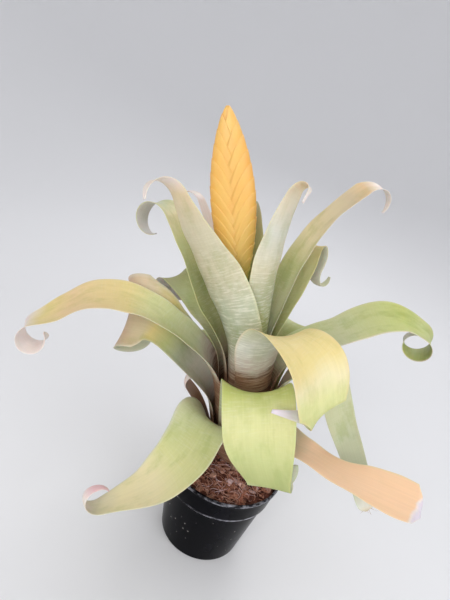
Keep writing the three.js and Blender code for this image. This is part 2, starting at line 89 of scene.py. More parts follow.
class Finish:
    # A material whose nodes are added one call at a time: inputs are values, or outputs of other nodes.
    def __init__(self, name):
        self.material = bpy.data.materials.new(name)
        self.material.use_nodes = True
        self.tree = self.material.node_tree
        self.shader = self.tree.nodes["Principled BSDF"]

    def add(self, kind, inputs=(), **settings):
        made = self.tree.nodes.new("ShaderNode" + kind)
        for key, value in settings.items():
            setattr(made, key, value)
        for key, value in dict(inputs).items():
            self.put(made.inputs[key], value)
        return made

    def put(self, socket, value):
        if isinstance(value, bpy.types.NodeSocket):
            self.tree.links.new(value, socket)
        else:
            socket.default_value = value

    def objectPlace(self):
        return self.add("TexCoord").outputs["Object"]

    def mark(self, name):
        # what the piece's own mark says at each point
        return self.add("Attribute", attribute_name=name).outputs["Vector"]

    def parts(self, vector):
        return self.add("SeparateXYZ", {0: vector}).outputs

    def math(self, operation, *values):
        return self.add("Math", enumerate(values), operation=operation).outputs[0]

    def product(self, first, *others):
        for value in others:
            first = self.math("MULTIPLY", first, value)
        return first

    def spread(self, value, low, high, start=0.0, end=1.0):
        # the value carried from low..high to start..end, held at both ends
        keys = {"Value": value, "From Min": low, "From Max": high, "To Min": start, "To Max": end}
        return self.add("MapRange", keys, interpolation_type="SMOOTHSTEP").outputs[0]

    def ramp(self, value, stops):
        # colours at places along a value
        made = self.add("ValToRGB", {"Fac": value})
        points = made.color_ramp.elements
        while len(points) < len(stops):
            points.new(0.5)
        for point, (place, colour) in zip(points, stops):
            point.position = place
            point.color = linear(colour)
        return made.outputs["Color"]

    def blend(self, share, below, above, kind="MIX"):
        # two colours, each from another node, by name or as a screen colour
        made = self.add("Mix", data_type="RGBA", blend_type=kind)
        for socket, value in ((0, share), (6, below), (7, above)):
            self.put(made.inputs[socket], linear(value) if isinstance(value, (str, tuple)) else value)
        return made.outputs[2]

    def shaded(self, colour, shade):
        # a colour made darker or lighter by one value
        grey = self.add("CombineXYZ", {0: shade, 1: shade, 2: shade}).outputs[0]
        return self.blend(1.0, colour, grey, "MULTIPLY")

    def noise(self, place, stretch, detail=3.0, rough=0.5):
        # cloudy noise with its own size along each direction
        mapped = self.add("Mapping", {"Vector": place, "Scale": stretch}).outputs[0]
        made = self.add("TexNoise", {"Vector": mapped, "Scale": 1.0, "Detail": detail, "Roughness": rough})
        return made.outputs[0]

    def surface(self, **inputs):
        for key, value in inputs.items():
            self.put(self.shader.inputs[key.replace("_", " ")], value)

    def relief(self, height, strength, distance):
        made = self.add("Bump", {"Height": height, "Strength": strength, "Distance": distance})
        self.put(self.shader.inputs["Normal"], made.outputs[0])


def gridFaces(rows, columns, closed=True, start=0):
    # quads over a grid of rows by columns points, joined round when closed
    row = np.arange(rows - 1)[:, None] * columns
    column = np.arange(columns if closed else columns - 1)[None, :]
    after = (column + 1) % columns
    quads = [row + column, row + after, row + columns + after, row + columns + column]
    return np.stack([np.broadcast_to(q, (rows - 1, column.size)) for q in quads], -1).reshape(-1, 4) + start


def endCaps(rows, columns, start=0):
    # one face over the first row of a closed grid and one over its last
    last = start + (rows - 1) * columns
    return [[start + k for k in range(columns)][::-1], [last + k for k in range(columns)]]


def fullTurn(sides):
    return np.linspace(0, 2 * np.pi, sides, endpoint=False)


def addObject(name, mesh, material):
    mesh.shade_smooth()
    mesh.materials.append(material)
    made = bpy.data.objects.new(name, mesh)
    bpy.context.collection.objects.link(made)
    return made


def makePiece(name, points, faces, material, node, slot, **marks):
    # a smooth mesh from whole arrays, in millimetres, with its own marks for the material to read
    mesh = bpy.data.meshes.new(name)
    mesh.from_pydata(points.reshape(-1, 3) / 1000, [], faces)
    for mark, values in marks.items():
        made = mesh.attributes.new(mark, "FLOAT_VECTOR", "POINT")
        made.data.foreach_set("vector", np.ascontiguousarray(values, dtype=np.float32).ravel())
    piece = addObject(name, mesh, material)
    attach(piece, "root")
    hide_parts(node)
    return piece


def mergeDoubles(piece):
    # closes poles where many points meet in one
    work = bmesh.new()
    work.from_mesh(piece.data)
    bmesh.ops.remove_doubles(work, verts=work.verts, dist=1e-6)
    bmesh.ops.recalc_face_normals(work, faces=work.faces)
    work.to_mesh(piece.data)
    work.free()


# The rosette's own frame: where it leaves the bark, and how far its axis leans to the left. Every sheath
# starts at the foot, lower the further out it lies, flares a little and comes free at the sheaths' top.
rosette = {"heart": (12, 0, 80), "lean": 13, "sheathFoot": 7.4, "footStep": 2.6, "outermost": 20,
           "flareReach": 0.62, "flareHeight": 0.4, "footWidth": 0.4, "flareWidth": 0.8,
           "freeStart": 10, "sheathTop": 62}


def leant(points, degrees, foot):
    # turned about Y, to the left, and moved to a foot
    x, y, z = np.moveaxis(points, -1, 0)
    cos, sin = math.cos(math.radians(degrees)), math.sin(math.radians(degrees))
    return np.stack([x * cos - z * sin, y, x * sin + z * cos], -1) + np.array(foot)


def fromRosette(points):
    return leant(points, rosette["lean"], rosette["heart"])


def splineThrough(rows):
    # natural cubic spline through rows of numbers, knotted by the distance between their first three
    rows = np.array(rows, dtype=float)
    steps = np.linalg.norm(np.diff(rows[:, :3], axis=0), axis=1)
    knots = np.concatenate([[0], np.cumsum(steps)])
    count = len(rows)
    system = np.eye(count)
    inner = np.arange(1, count - 1)
    system[inner, inner - 1] = steps[:-1]
    system[inner, inner] = 2 * (steps[:-1] + steps[1:])
    system[inner, inner + 1] = steps[1:]
    slopes = np.diff(rows, axis=0) / steps[:, None]
    change = np.zeros_like(rows)
    change[1:-1] = 6 * np.diff(slopes, axis=0)
    bends = np.linalg.solve(system, change)

    def at(shares):
        place = np.asarray(shares) * knots[-1]
        i = np.clip(np.searchsorted(knots, place, side="right") - 1, 0, count - 2)
        span = steps[i]
        a, b = (knots[i + 1] - place) / span, (place - knots[i]) / span
        bow = (a ** 3 - a)[:, None] * bends[i] + (b ** 3 - b)[:, None] * bends[i + 1]
        bow = bow * span[:, None] ** 2 / 6
        return a[:, None] * rows[i] + b[:, None] * rows[i + 1] + bow
    return at


def unit(vectors):
    return vectors / np.linalg.norm(vectors, axis=-1, keepdims=True)


def turned(vectors, axis, angles):
    # Rodrigues' turn of vectors about one axis, or one axis each
    cos, sin = np.cos(angles)[:, None], np.sin(angles)[:, None]
    along = np.sum(vectors * axis, axis=-1, keepdims=True)
    return vectors * cos + np.cross(axis, vectors) * sin + axis * along * (1 - cos)


def smooth(values, low, high):
    # 0 up to low, 1 from high, with an even S between them
    t = np.clip((values - low) / max(high - low, 1e-6), 0, 1)
    return t * t * (3 - 2 * t)


leafDetail = {"stations": 96, "across": 24, "crowding": 0.85, "thickness": 0.8, "edge": 0.35,
              "tipWidth": 2.5, "tipChannel": 12, "taper": 1.4, "slantStart": 0.72,
              "leastCurlSteps": 4, "degreesPerStation": 6, "tailStep": 2, "coarseDegrees": 30,
              "coarseTail": 11}
# A slow wave along the margins: it starts past the sheath and is gone before the curl.
ripple = {"height": 0.45, "long": 9.5, "short": 4.3, "shortShare": 0.6, "otherSide": 2.1,
          "degreesPerPhase": 57, "from": (70, 120), "beforeCurl": (25, 4), "fullWidth": 30}


def bladeStations(leaf):
    # Sheath and blade: a spline through the foot, the flare and the midrib's rows. The way across is level,
    # then turned by the row's twist and near the curl by its slant. In the sheath the hollow side faces
    # the axis, and further up it faces the way that the blade's own turn gives.
    angle = math.radians(leaf["facing"])
    out = np.array([math.cos(angle), math.sin(angle), 0])
    left = np.array([-math.sin(angle), math.cos(angle), 0])
    up = np.array([0, 0, 1.0])
    footRadius, flare, rise = rosette["sheathFoot"], rosette["flareReach"], rosette["flareHeight"]
    foot = rosette["footStep"] * (rosette["outermost"] - leaf["rank"])
    reach, height, _, width, _, channel = leaf["midrib"][0]
    rows = [(footRadius, foot, 0, width * rosette["footWidth"], 0, footRadius),
            (footRadius + (reach - footRadius) * flare, foot + (height - foot) * rise, 0,
             width * rosette["flareWidth"], 0, footRadius + (channel - footRadius) * flare),
            *leaf["midrib"]]
    spline = splineThrough(rows)
    shares = np.linspace(0, 1, leafDetail["stations"])

    def place(row):
        return row[:, :1] * out + row[:, 2:3] * left + row[:, 1:2] * up
    row = spline(shares)
    small = 1e-3
    ahead = np.minimum(shares + small, 1)
    along = unit(place(spline(ahead)) - place(spline(ahead - small)))
    across = unit(left - along * (along @ left)[:, None])
    across = turned(across, along, np.radians(row[:, 4]))
    slant = -math.radians(leaf["curl"].get("slant", 0)) * smooth(shares, leafDetail["slantStart"], 1)
    across = turned(across, unit(np.cross(along, across)), slant)
    free = smooth(row[:, 1], foot + rosette["freeStart"], rosette["sheathTop"])
    free = np.maximum.accumulate(free)[:, None]
    lift = unit(-out * (1 - free) + np.cross(along, across) * free)
    return place(row), along, across, lift, row[:, 3], row[:, 5]


def curlStations(curl, along, across, width, channel):
    # The curl goes on from the blade's end: it turns about a line across the blade, from one radius to
    # another, and runs straight for its tail, while it tapers to the tip.
    bend = math.radians(curl["turn"])
    steps = math.ceil(abs(curl["turn"]) / leafDetail["degreesPerStation"])
    steps = max(leafDetail["leastCurlSteps"], steps)
    tail = curl.get("tail", 0)
    tailSteps = math.ceil(tail / leafDetail["tailStep"])
    tilt = -math.radians(curl.get("tilt", 0))
    axis = turned(across[None, :], unit(np.cross(along, across)), np.array([tilt]))[0]
    q = np.arange(1, steps + 1) / steps
    half = q - 0.5 / steps
    radius = curl["radius"][0] + (curl["radius"][1] - curl["radius"][0]) * half
    chord = turned(np.tile(along, (steps, 1)), axis, bend * half) * (radius * abs(bend) / steps)[:, None]
    turns = np.concatenate([bend * q, np.full(tailSteps, bend)])
    curlAlong = turned(np.tile(along, (len(turns), 1)), axis, turns)
    curlAcross = turned(np.tile(across, (len(turns), 1)), axis, turns)
    chord = np.concatenate([chord, curlAlong[steps:] * (tail / max(tailSteps, 1))])
    # the CAD model tapers evenly over its coarse steps, so the tail's share is by its steps too
    coarseTurn = math.ceil(abs(curl["turn"]) / leafDetail["coarseDegrees"])
    coarseTail = math.ceil(tail / leafDetail["coarseTail"]) * np.arange(1, tailSteps + 1) / max(tailSteps, 1)
    coarse = np.concatenate([q * coarseTurn, coarseTurn + coarseTail])
    share = coarse / coarse[-1]
    taper = share ** curl.get("taper", leafDetail["taper"])
    curlWidth = width + (leafDetail["tipWidth"] - width) * taper
    curlChannel = channel + (curl.get("channel", leafDetail["tipChannel"]) - channel) * share
    return np.cumsum(chord, axis=0), curlAlong, curlAcross, curlWidth, curlChannel


def leafStations(leaf):
    # the whole midrib: places, ways across, ways to the hollow side, widths and channel radii
    point, along, across, lift, width, channel = bladeStations(leaf)
    onward, curlAlong, curlAcross, curlWidth, curlChannel = curlStations(
        leaf["curl"], along[-1], across[-1], width[-1], channel[-1])
    curlLift = unit(np.cross(curlAlong, curlAcross))
    pairs = ((point, point[-1] + onward), (across, curlAcross), (lift, curlLift), (width, curlWidth),
             (channel, curlChannel))
    return [np.concatenate(pair) for pair in pairs]


def leafMiddle(leaf, stations, distance, side):
    # midway through the leaf: at every station an arc of the channel's radius, lifted by the ripple
    point, across, lift, width, channel = stations
    turn = side[None, :] * (width / channel / 2)[:, None]
    arc = channel[:, None]
    middle = (point[:, None] + across[:, None] * (arc * np.sin(turn))[..., None]
              + lift[:, None] * (arc * (1 - np.cos(turn)))[..., None])
    phase = leaf["facing"] / ripple["degreesPerPhase"] + np.where(side > 0, ripple["otherSide"], 0)
    wave = (np.sin(distance[:, None] / ripple["long"] + phase)
            + ripple["shortShare"] * np.sin(distance[:, None] / ripple["short"] + 2 * phase))
    bladeEnd = distance[leafDetail["stations"] - 1]
    far, near = ripple["beforeCurl"]
    calm = smooth(distance, *ripple["from"]) * (1 - smooth(distance, bladeEnd - far, bladeEnd - near))
    free = (calm * np.minimum(width / ripple["fullWidth"], 1))[:, None]
    return middle + lift[:, None] * (ripple["height"] * free * wave * np.abs(side) ** 3)[..., None]


def leafShell(middle, side):
    # both faces lie half a thickness off the middle along its normals and meet in a thin rounded edge
    normal = unit(np.cross(np.gradient(middle, axis=0), np.gradient(middle, axis=1)))
    thin = leafDetail["edge"] + (1 - leafDetail["edge"]) * (1 - np.abs(side) ** 6)
    half = leafDetail["thickness"] / 2 * thin[None, :, None]
    edge = leafDetail["thickness"] * leafDetail["edge"] / 2
    rim = middle[:, [-1]] + unit(middle[:, [-1]] - middle[:, [-2]]) * edge
    otherRim = middle[:, [0]] + unit(middle[:, [0]] - middle[:, [1]]) * edge
    upper, under = middle + normal * half, middle - normal * half
    return np.concatenate([upper, rim, under[:, ::-1], otherRim], axis=1)


def leafFaces(stations, columns):
    # quads round the shell, strips over both ends and a triangle at each end's corners
    count = 2 * columns + 2
    around = gridFaces(stations, count)[:, ::-1]
    j = np.arange(columns - 1)
    cap = np.stack([j, j + 1, count - 3 - j, count - 2 - j], -1)
    last = (stations - 1) * count
    corners = [[0, count - 1, count - 2], [columns - 1, columns + 1, columns]]
    return (around.tolist() + cap.tolist() + (cap[:, ::-1] + last).tolist() + corners
            + [[last + c for c in reversed(corner)] for corner in corners])


def makeLeaf(name, leaf):
    # A shell over two parameters, place along the midrib and place across. Its mark "blade" holds side,
    # share of the length and which face it is, and "metric" holds metres across and along.
    stations = leafStations(leaf)
    point, _, _, width, _ = stations
    distance = np.concatenate([[0], np.cumsum(np.linalg.norm(np.diff(point, axis=0), axis=1))])
    share = distance / distance[-1]
    columns = leafDetail["across"] + 1
    side = np.linspace(-1, 1, columns)
    side = np.sign(side) * np.abs(side) ** leafDetail["crowding"]
    shell = leafShell(leafMiddle(leaf, stations, distance, side), side)
    around = np.concatenate([side, [1], side[::-1], [-1]])[None, :]
    under = np.concatenate([np.zeros(columns), [0.5], np.ones(columns), [0.5]])[None, :]
    blade = np.stack(np.broadcast_arrays(around, share[:, None], under), -1)
    metric = np.stack(np.broadcast_arrays(around * width[:, None] / 2000, distance[:, None] / 1000,
                                          (under + leaf["rank"]) * 0.7), -1)
    sheath = share[np.argmax(point[:, 2] > leaf["sheath"])]
    makePiece(name, fromRosette(shell), leafFaces(len(point), columns), leafFinish(name, leaf, sheath),
              leaf["node"], "leaf", blade=blade, metric=metric)


# Patterns on the leaves: about how often each repeats in a metre across and along the blade.
# The third number sets the leaves and their two faces apart.
leafGrain = {"sway": (34, 14, 1), "clouds": (75, 34, 1), "paleSpots": (48, 22, 3), "veins": (900, 16, 1),
             "bands": (110, 900, 1), "fibres": (50, 880, 1), "gloss": (120, 120, 1)}
leafTint = {"cloud": (214, 224, 190), "paleSpot": (70, 64, 54), "hollow": (206, 212, 190),
            "silverLine": (230, 228, 214)}


def withClouds(finish, leaf, colour, metric, share):
    # green clouds that fade towards the tip, and paler spots
    cloud = finish.spread(finish.noise(metric, leafGrain["clouds"], 5.0, 0.65), 0.46, 0.68)
    cloud = finish.product(cloud, finish.spread(share, 0.97, 0.75, 0.0, leaf["clouds"]))
    colour = finish.blend(cloud, colour, finish.blend(1.0, colour, leafTint["cloud"], "MULTIPLY"))
    pale = finish.spread(finish.noise(metric, leafGrain["paleSpots"], 4.0, 0.6), 0.52, 0.78, 0.0, 0.3)
    return finish.blend(pale, colour, finish.blend(1.0, colour, leafTint["paleSpot"], "ADD"))


def withLines(finish, colour, bands, reach):
    # wavering silver lines across the blade, with slightly darker hollows between them
    hollow = finish.product(finish.spread(bands, 0.5, 0.36), reach, 0.2)
    colour = finish.blend(hollow, colour, finish.blend(1.0, colour, leafTint["hollow"], "MULTIPLY"))
    lines = finish.product(finish.spread(bands, 0.47, 0.68), reach, 0.85)
    return finish.blend(lines, colour, leafTint["silverLine"])


def withMargins(finish, leaf, colour, side, share):
    # the margins' own tone, with one strength to the left and one to the right
    tone, left, right = leaf["margins"]
    edge = finish.math("ADD", finish.spread(side, 0.88, 1.0, 0.0, left),
                       finish.spread(side, -0.88, -1.0, 0.0, right))
    return finish.blend(finish.product(edge, finish.spread(share, 0.25, 0.4)), colour, tone)


def withHusk(finish, colour, place, sheath, bands, fibre, brown):
    # the sheath's brown fibres, and a mauve belt where they give way to the blade
    belt = finish.spread(place, sheath + 0.09, sheath + 0.02, 0.0, 0.6)
    belt = finish.product(belt, finish.spread(bands, 0.62, 0.4, 0.3, 1.0))
    colour = finish.blend(belt, colour, "mauve")
    husk = finish.ramp(fibre, [(0.3, "darkBrown"), (0.5, "brown"), (0.7, "tan")])
    return finish.blend(brown, colour, husk)


def leafFinish(name, leaf, sheath):
    # Face and underside each have colours along the leaf. Over them lie clouds, faint veins along the blade,
    # silver lines across it, paler margins and, up to the sheath's share of the length, brown fibres.
    finish = Finish(name + "Finish")
    metric = finish.mark("metric")
    side, share, under = finish.parts(finish.mark("blade"))
    sway = finish.math("MULTIPLY_ADD", finish.noise(metric, leafGrain["sway"], 4.0), 0.14, -0.07)
    place = finish.math("ADD", share, sway)
    colour = finish.blend(under, finish.ramp(place, leaf["face"]), finish.ramp(place, leaf["back"]))
    colour = withClouds(finish, leaf, colour, metric, share)
    veins = finish.noise(metric, leafGrain["veins"], 2.0)
    colour = finish.shaded(colour, finish.spread(veins, 0.3, 0.7, 0.97, 1.015))
    bands = finish.noise(metric, leafGrain["bands"], 5.0, 0.65)
    reach = finish.product(finish.spread(share, 0.8, 0.4, 0.1, leaf["lines"]),
                           finish.spread(under, 0.0, 1.0, 0.3, 1.0))
    colour = withLines(finish, colour, bands, reach)
    colour = withMargins(finish, leaf, colour, side, share)
    fibre = finish.noise(metric, leafGrain["fibres"], 5.0, 0.7)
    brown = finish.spread(finish.math("MULTIPLY_ADD", fibre, 0.1, place), sheath + 0.07, sheath + 0.01)
    colour = withHusk(finish, colour, place, sheath, bands, fibre, brown)
    rough = finish.spread(finish.noise(metric, leafGrain["gloss"]), 0.3, 0.7, 0.46, 0.6)
    finish.surface(Base_Color=colour, Roughness=rough, Specular_IOR_Level=0.35, Subsurface_Weight=0.12,
                   Subsurface_Scale=0.003)
    relief = finish.math("ADD", finish.product(veins, 0.2), finish.product(bands, reach))
    relief = finish.math("ADD", relief, finish.product(fibre, brown))
    finish.relief(relief, 0.4, 0.0004)
    return finish.material


# Each leaf: the node that it stands for, the way that it faces in degrees, its rank from the innermost and
# the height at which its brown sheath ends. The midrib's rows are reach, height, step to the left, width,
# twist in degrees and channel radius. The curl has degrees, first and last radius, and where it has them a
# straight tail, a tilt or slant of its axis, a power for its taper and a channel for its tip. Then come the
# colours along face and back, how strong its green clouds and silver lines are, and its margins' tone with
# their strengths to the left and to the right.
# Low on several leaves, deep in the rosette where shade falls, the first colours are paler than the leaves'
# own: painted light over that shade.
leaves = {
    "leafBehindSpike": {
        "node": "leaf_behind_spike", "facing": 84, "rank": 0, "sheath": 70,
        "midrib": [(8.3, 62, 0, 18, 0, 8.3), (9.2, 100, 0, 23, 0, 9.2), (9.8, 118, 1, 23, 0, 10),
                   (16, 160, 4, 24, 0, 24), (23, 210, 8, 13, 0, 30)],
        "curl": {"turn": 60, "radius": (20, 14)},
        "face": [(0.3, "darkGreen"), (0.7, "green"), (1, "greyGreen")],
        "back": [(0.3, "greyGreen"), (1, "greyGreen")],
        "clouds": 0.6, "lines": 0.5, "margins": ("paleGreen", 0.2, 0.2),
    },
    "leafInnerLeft": {
        "node": "leaf_inner_left", "facing": 166, "rank": 1, "sheath": 70,
        "midrib": [(9.7, 62, 0, 20, 0, 9.7), (11.2, 100, 0, 23, 0, 11.2), (13, 118, -1, 24, 0, 13.8),
                   (31, 174, -12, 23, 0, 26), (53, 221, -17, 13, 0, 26)],
        "curl": {"turn": 120, "radius": (12, 8)},
        "face": [(0.3, "greyGreen"), (0.6, "silver"), (0.85, "pinkWhite")],
        "back": [(0.3, "greyGreen"), (0.7, "silver"), (1, "pinkWhite")],
        "clouds": 0.2, "lines": 0.5, "margins": ("pinkWhite", 0.5, 0.5),
    },
    "leafUprightRight": {
        "node": "leaf_upright_right", "facing": -40, "rank": 2, "sheath": 76,
        "midrib": [(10.9, 62, 0, 26, 0, 10.9), (12.1, 100, 0, 28, 0, 12.1), (12.6, 118, 0, 29, 0, 12.6),
                   (13.4, 149, -1, 31, 0, 17), (14.4, 180, -1.5, 31, 0, 26), (17.5, 213, 2, 25, 0, 30),
                   (22, 239, 9, 16, 0, 30)],
        "curl": {"turn": 165, "radius": (6, 6), "tail": 9, "tilt": -16, "taper": 0.6},
        "face": [(0.25, "green"), (0.7, "paleGreen"), (1, "pinkWhite")],
        "back": [(0.3, "greyGreen"), (0.42, "green"), (0.52, "greyGreen"), (0.62, "sand"), (0.76, "silver"),
                 (0.9, "beige"), (1, "pinkWhite")],
        "clouds": 0.5, "lines": 0.8, "margins": ("cream", 0.2, 0.3),
    },
    "leafUpperRight": {
        "node": "leaf_upper_right", "facing": 28, "rank": 3, "sheath": 76,
        "midrib": [(12.3, 62, 0, 26, 0, 12.3), (13.9, 100, 0, 26, 0, 13.9), (15.1, 118, 1, 27, 0, 15.3),
                   (25, 150, 5, 34, 0, 26), (43, 190, 8, 28, 0, 36), (64, 221, 3, 23, 0, 40),
                   (82, 238, -3, 25, 0, 40)],
        "curl": {"turn": 165, "radius": (14, 12), "taper": 0.8},
        "face": [(0.2, "silver"), (0.4, "paleGreen"), (0.55, "lightGreen"), (0.66, "cream"), (0.8, "beige"),
                 (0.86, "peach"), (0.92, "pinkWhite")],
        "back": [(0.3, "greyGreen"), (0.8, "silver"), (1, "pinkWhite")],
        "clouds": 0.6, "lines": 0.6, "margins": ("pinkWhite", 0.25, 0.35),
    },
    "leafUprightLeft": {
        "node": "leaf_upright_left", "facing": -125, "rank": 4, "sheath": 105,
        "midrib": [(13.5, 62, 0, 32, 0, 13.5), (15, 100, 0, 38, 0, 15), (15.8, 118, 0, 42, 0, 17),
                   (20, 150, -6, 48, 0, 36), (29, 187, -21, 43, 0, 50), (38, 214, -32, 27, 0, 50),
                   (43, 231, -38, 17, 0, 50)],
        "curl": {"turn": 160, "radius": (16, 12)},
        "face": [(0.3, "green"), (0.8, "cream"), (1, "pinkWhite")],
        "back": [(0.26, "silverGreen"), (0.36, "greyGreen"), (0.46, "silverGreen"), (0.56, "sand"),
                 (0.72, "sand"), (0.83, "beige"), (0.9, "pinkWhite")],
        "clouds": 0.5, "lines": 0.85, "margins": ("paleYellow", 0.2, 0.35),
    },
    "leafFoldedBack": {
        "node": "leaf_folded_back", "facing": 38, "rank": 5, "sheath": 76,
        "midrib": [(14.8, 62, 0, 30, 0, 14.8), (16.4, 100, 0, 32, 0, 16.4), (18.4, 117, 1, 33, 0, 20),
                   (43, 154, 9, 38, 0, 40), (61, 181, 13, 32, 0, 40), (69, 189, 14, 26, 0, 30),
                   (73, 184, 13, 20, 0, 30), (70, 169, 11, 14, 0, 30)],
        "curl": {"turn": -190, "radius": (11, 9)},
        "face": [(0.25, "paleGreen"), (0.45, "lightGreen"), (0.62, "paleYellow"), (0.75, "yellow"),
                 (1, "silverGreen")],
        "back": [(0.6, "greyGreen"), (0.8, "silver")],
        "clouds": 0.5, "lines": 0.6, "margins": ("cream", 0.3, 0.3),
    },
    "leafLeftHook": {
        "node": "leaf_left_hook", "facing": 160, "rank": 6, "sheath": 104,
        "midrib": [(16.1, 62, 0, 32, 0, 16.1), (17.7, 96, 0, 33, 0, 17.7), (20.8, 114, 0, 36, 0, 22),
                   (38, 144, -1, 42, 0, 40), (54, 177, -2, 37, 0, 50), (72, 207, -4, 33, 0, 50)],
        "curl": {"turn": 270, "radius": (21, 6), "taper": 0.9},
        "face": [(0.36, "olive"), (0.55, "green"), (0.66, "lightGreen"), (0.74, "cream"),
                 (0.8, "paleGreen"), (0.88, "silver"), (1, "greyLavender")],
        "back": [(0.3, "greyGreen"), (0.8, "silver"), (1, "greyLavender")],
        "clouds": 0.6, "lines": 0.7, "margins": ("paleYellow", 0.6, 0.3),
    },
    "leafBack": {
        "node": "leaf_back", "facing": 92, "rank": 7, "sheath": 80,
        "midrib": [(17.5, 62, 0, 26, 0, 17.5), (20, 92, 0, 29, 0, 20), (24.8, 110, 0, 29, 0, 25.6),
                   (44, 135, 0, 42, 0, 44), (66, 147, 0, 44, 0, 70), (90, 140, 0, 40, 0, 70),
                   (110, 114, 0, 34, 0, 60), (118, 78, 0, 26, 0, 40)],
        "curl": {"turn": 60, "radius": (24, 16)},
        "face": [(0.2, "green"), (0.5, "lightGreen"), (0.8, "paleYellow"), (1, "pinkWhite")],
        "back": [(0.2, "greyGreen"), (0.7, "silverGreen"), (1, "beige")],
        "clouds": 0.6, "lines": 0.7, "margins": ("cream", 0.3, 0.3),
    },
    "leafFrontArch": {
        "node": "leaf_front_arch", "facing": -58, "rank": 8, "sheath": 105,
        "midrib": [(18.7, 62, 0, 36, 0, 18.7), (20.6, 92, 0, 38, 0, 20.6), (23, 110, -1, 40, 0, 24),
                   (29, 130, -3, 44, -4, 38), (40, 144, -1, 47, -9, 60), (54, 145, 4, 49, -8, 80),
                   (66, 136, 11, 48, -3, 80), (73, 118, 16, 45, 0, 90), (77, 104, 16, 39, 0, 140)],
        "curl": {"turn": 175, "radius": (6, 4), "tail": 28, "slant": -14, "tilt": -22, "taper": 0.6,
                 "channel": 60},
        "face": [(0.3, "green"), (0.46, "yellow"), (0.66, "yellow"), (0.72, "cream"), (0.78, "paleYellow"),
                 (0.84, "lightGreen"), (0.9, "pinkWhite"), (1, "lilac")],
        # the silver on the underside of its rising part is its own tone made brighter, painted light over
        # the shade on that downward face
        "back": [(0.44, "silver"), (0.52, "paleGreen"), (0.78, "lightGreen"), (0.85, "green"),
                 (0.9, "silver"), (1, "lilac")],
        "clouds": 0.4, "lines": 0.8, "margins": ("peach", 0.3, 0.3),
    },
    "leafLeftBack": {
        "node": "leaf_left_back", "facing": 148, "rank": 9, "sheath": 92,
        "midrib": [(20, 62, 0, 36, 0, 20), (21.8, 88, 0, 36, 0, 22), (25.5, 104, -3, 36, 0, 27),
                   (38, 120, -8, 38, -10, 40), (54, 131, -13, 40, -18, 50), (74, 141, -16, 40, -14, 50),
                   (95, 145, -18, 36, -6, 40)],
        "curl": {"turn": 190, "radius": (9, 8), "tail": 24, "taper": 2},
        "face": [(0.25, "greyGreen"), (0.45, "olive"), (0.62, "green"), (0.75, "olive"), (1, "greyGreen")],
        "back": [(0.3, "greyGreen"), (0.7, "silver"), (0.85, "greyLavender")],
        "clouds": 0.6, "lines": 0.5, "margins": ("paleYellow", 0.3, 0.4),
    },
    "leafRightCurled": {
        "node": "leaf_right_curled", "facing": 14, "rank": 10, "sheath": 96,
        "midrib": [(21.3, 60, 0, 38, 0, 21.3), (23.3, 84, 0, 38, 0, 23.3), (28, 99, 1, 37, 0, 30),
                   (42, 112, 6, 36, 4, 42), (58, 118, 9, 36, 8, 60), (78, 125, 9, 37, 12, 70),
                   (106, 137, 8, 37, 18, 70), (128, 138, 3, 34, 21, 60), (144, 130, -4, 30, 22, 50)],
        "curl": {"turn": 350, "radius": (11.5, 8), "taper": 1.1},
        "face": [(0.28, "greyGreen"), (0.36, "lightGreen"), (0.5, "paleGreen"), (0.62, "lightGreen"),
                 (0.7, "brightGreen"), (0.77, "lightGreen"), (0.9, "green"), (0.97, "silver"),
                 (1, "pinkWhite")],
        "back": [(0.2, "greyGreen"), (0.6, "green"), (0.85, "green"), (0.94, "brightGreen"), (1, "silver")],
        "clouds": 0.6, "lines": 0.4, "margins": ("pinkWhite", 0.2, 0.6),
    },
    "leafLeftLong": {
        "node": "leaf_left_long", "facing": -172, "rank": 11, "sheath": 97,
        "midrib": [(22.6, 58, 0, 36, 0, 22.6), (24.6, 80, 0, 37, 0, 25), (29, 98, 2, 39, 0, 31),
                   (40, 117, 5, 42, 0, 46), (64, 138, 3, 44, -3, 70), (94, 151, 0, 43, -8, 80),
                   (119, 153, 4, 41, -12, 70), (141, 143, 9, 36, -12, 60), (160, 136, 14, 27, -2, 50)],
        "curl": {"turn": 280, "radius": (9.5, 7), "tilt": 8, "taper": 3},
        # the pale pink and silver low on its face are its own tones made lighter, painted light over the
        # shade deep in its channel
        "face": [(0.22, "pinkWhite"), (0.31, "silver"), (0.38, "paleGreen"), (0.46, "lightGreen"),
                 (0.52, "paleYellow"), (0.58, "yellow"), (0.74, "peach"), (0.82, "yellow"),
                 (0.87, "pinkWhite")],
        "back": [(0.3, "greyGreen"), (0.7, "paleGreen"), (0.86, "pinkWhite")],
        "clouds": 0.4, "lines": 0.5, "margins": ("pinkWhite", 0.3, 0.2),
    },
    "leafBackRight": {
        "node": "leaf_back_right", "facing": 54, "rank": 12, "sheath": 66,
        "midrib": [(23.9, 56, 0, 38, 0, 23.9), (26.5, 76, 0, 38, 0, 27.5), (34, 94, 0, 40, 0, 38),
                   (48, 110, 0, 42, 0, 56), (64, 116, 0, 41, 0, 70), (84, 105, 0, 38, 0, 60),
                   (98, 73, 0, 30, 0, 40)],
        "curl": {"turn": 60, "radius": (22, 14)},
        "face": [(0.2, "green"), (0.5, "lightGreen"), (0.85, "paleYellow"), (1, "pinkWhite")],
        "back": [(0.2, "greyGreen"), (0.7, "silverGreen"), (1, "beige")],
        "clouds": 0.6, "lines": 0.7, "margins": ("cream", 0.3, 0.3),
    },
    "leafRightHanging": {
        "node": "leaf_right_hanging", "facing": -14, "rank": 13, "sheath": 84,
        "midrib": [(25.2, 54, 0, 36, 0, 25.2), (28, 72, 0, 36, 0, 29), (33, 90, 0, 37, 0, 36),
                   (41, 103, 3, 37, 4, 46), (53, 108, 6, 37, 18, 60), (68, 92, 8, 31, 40, 60),
                   (79, 66, 7, 24, 52, 50), (92, 40, 4, 20, 58, 40), (105, 14, -2, 17, 60, 30)],
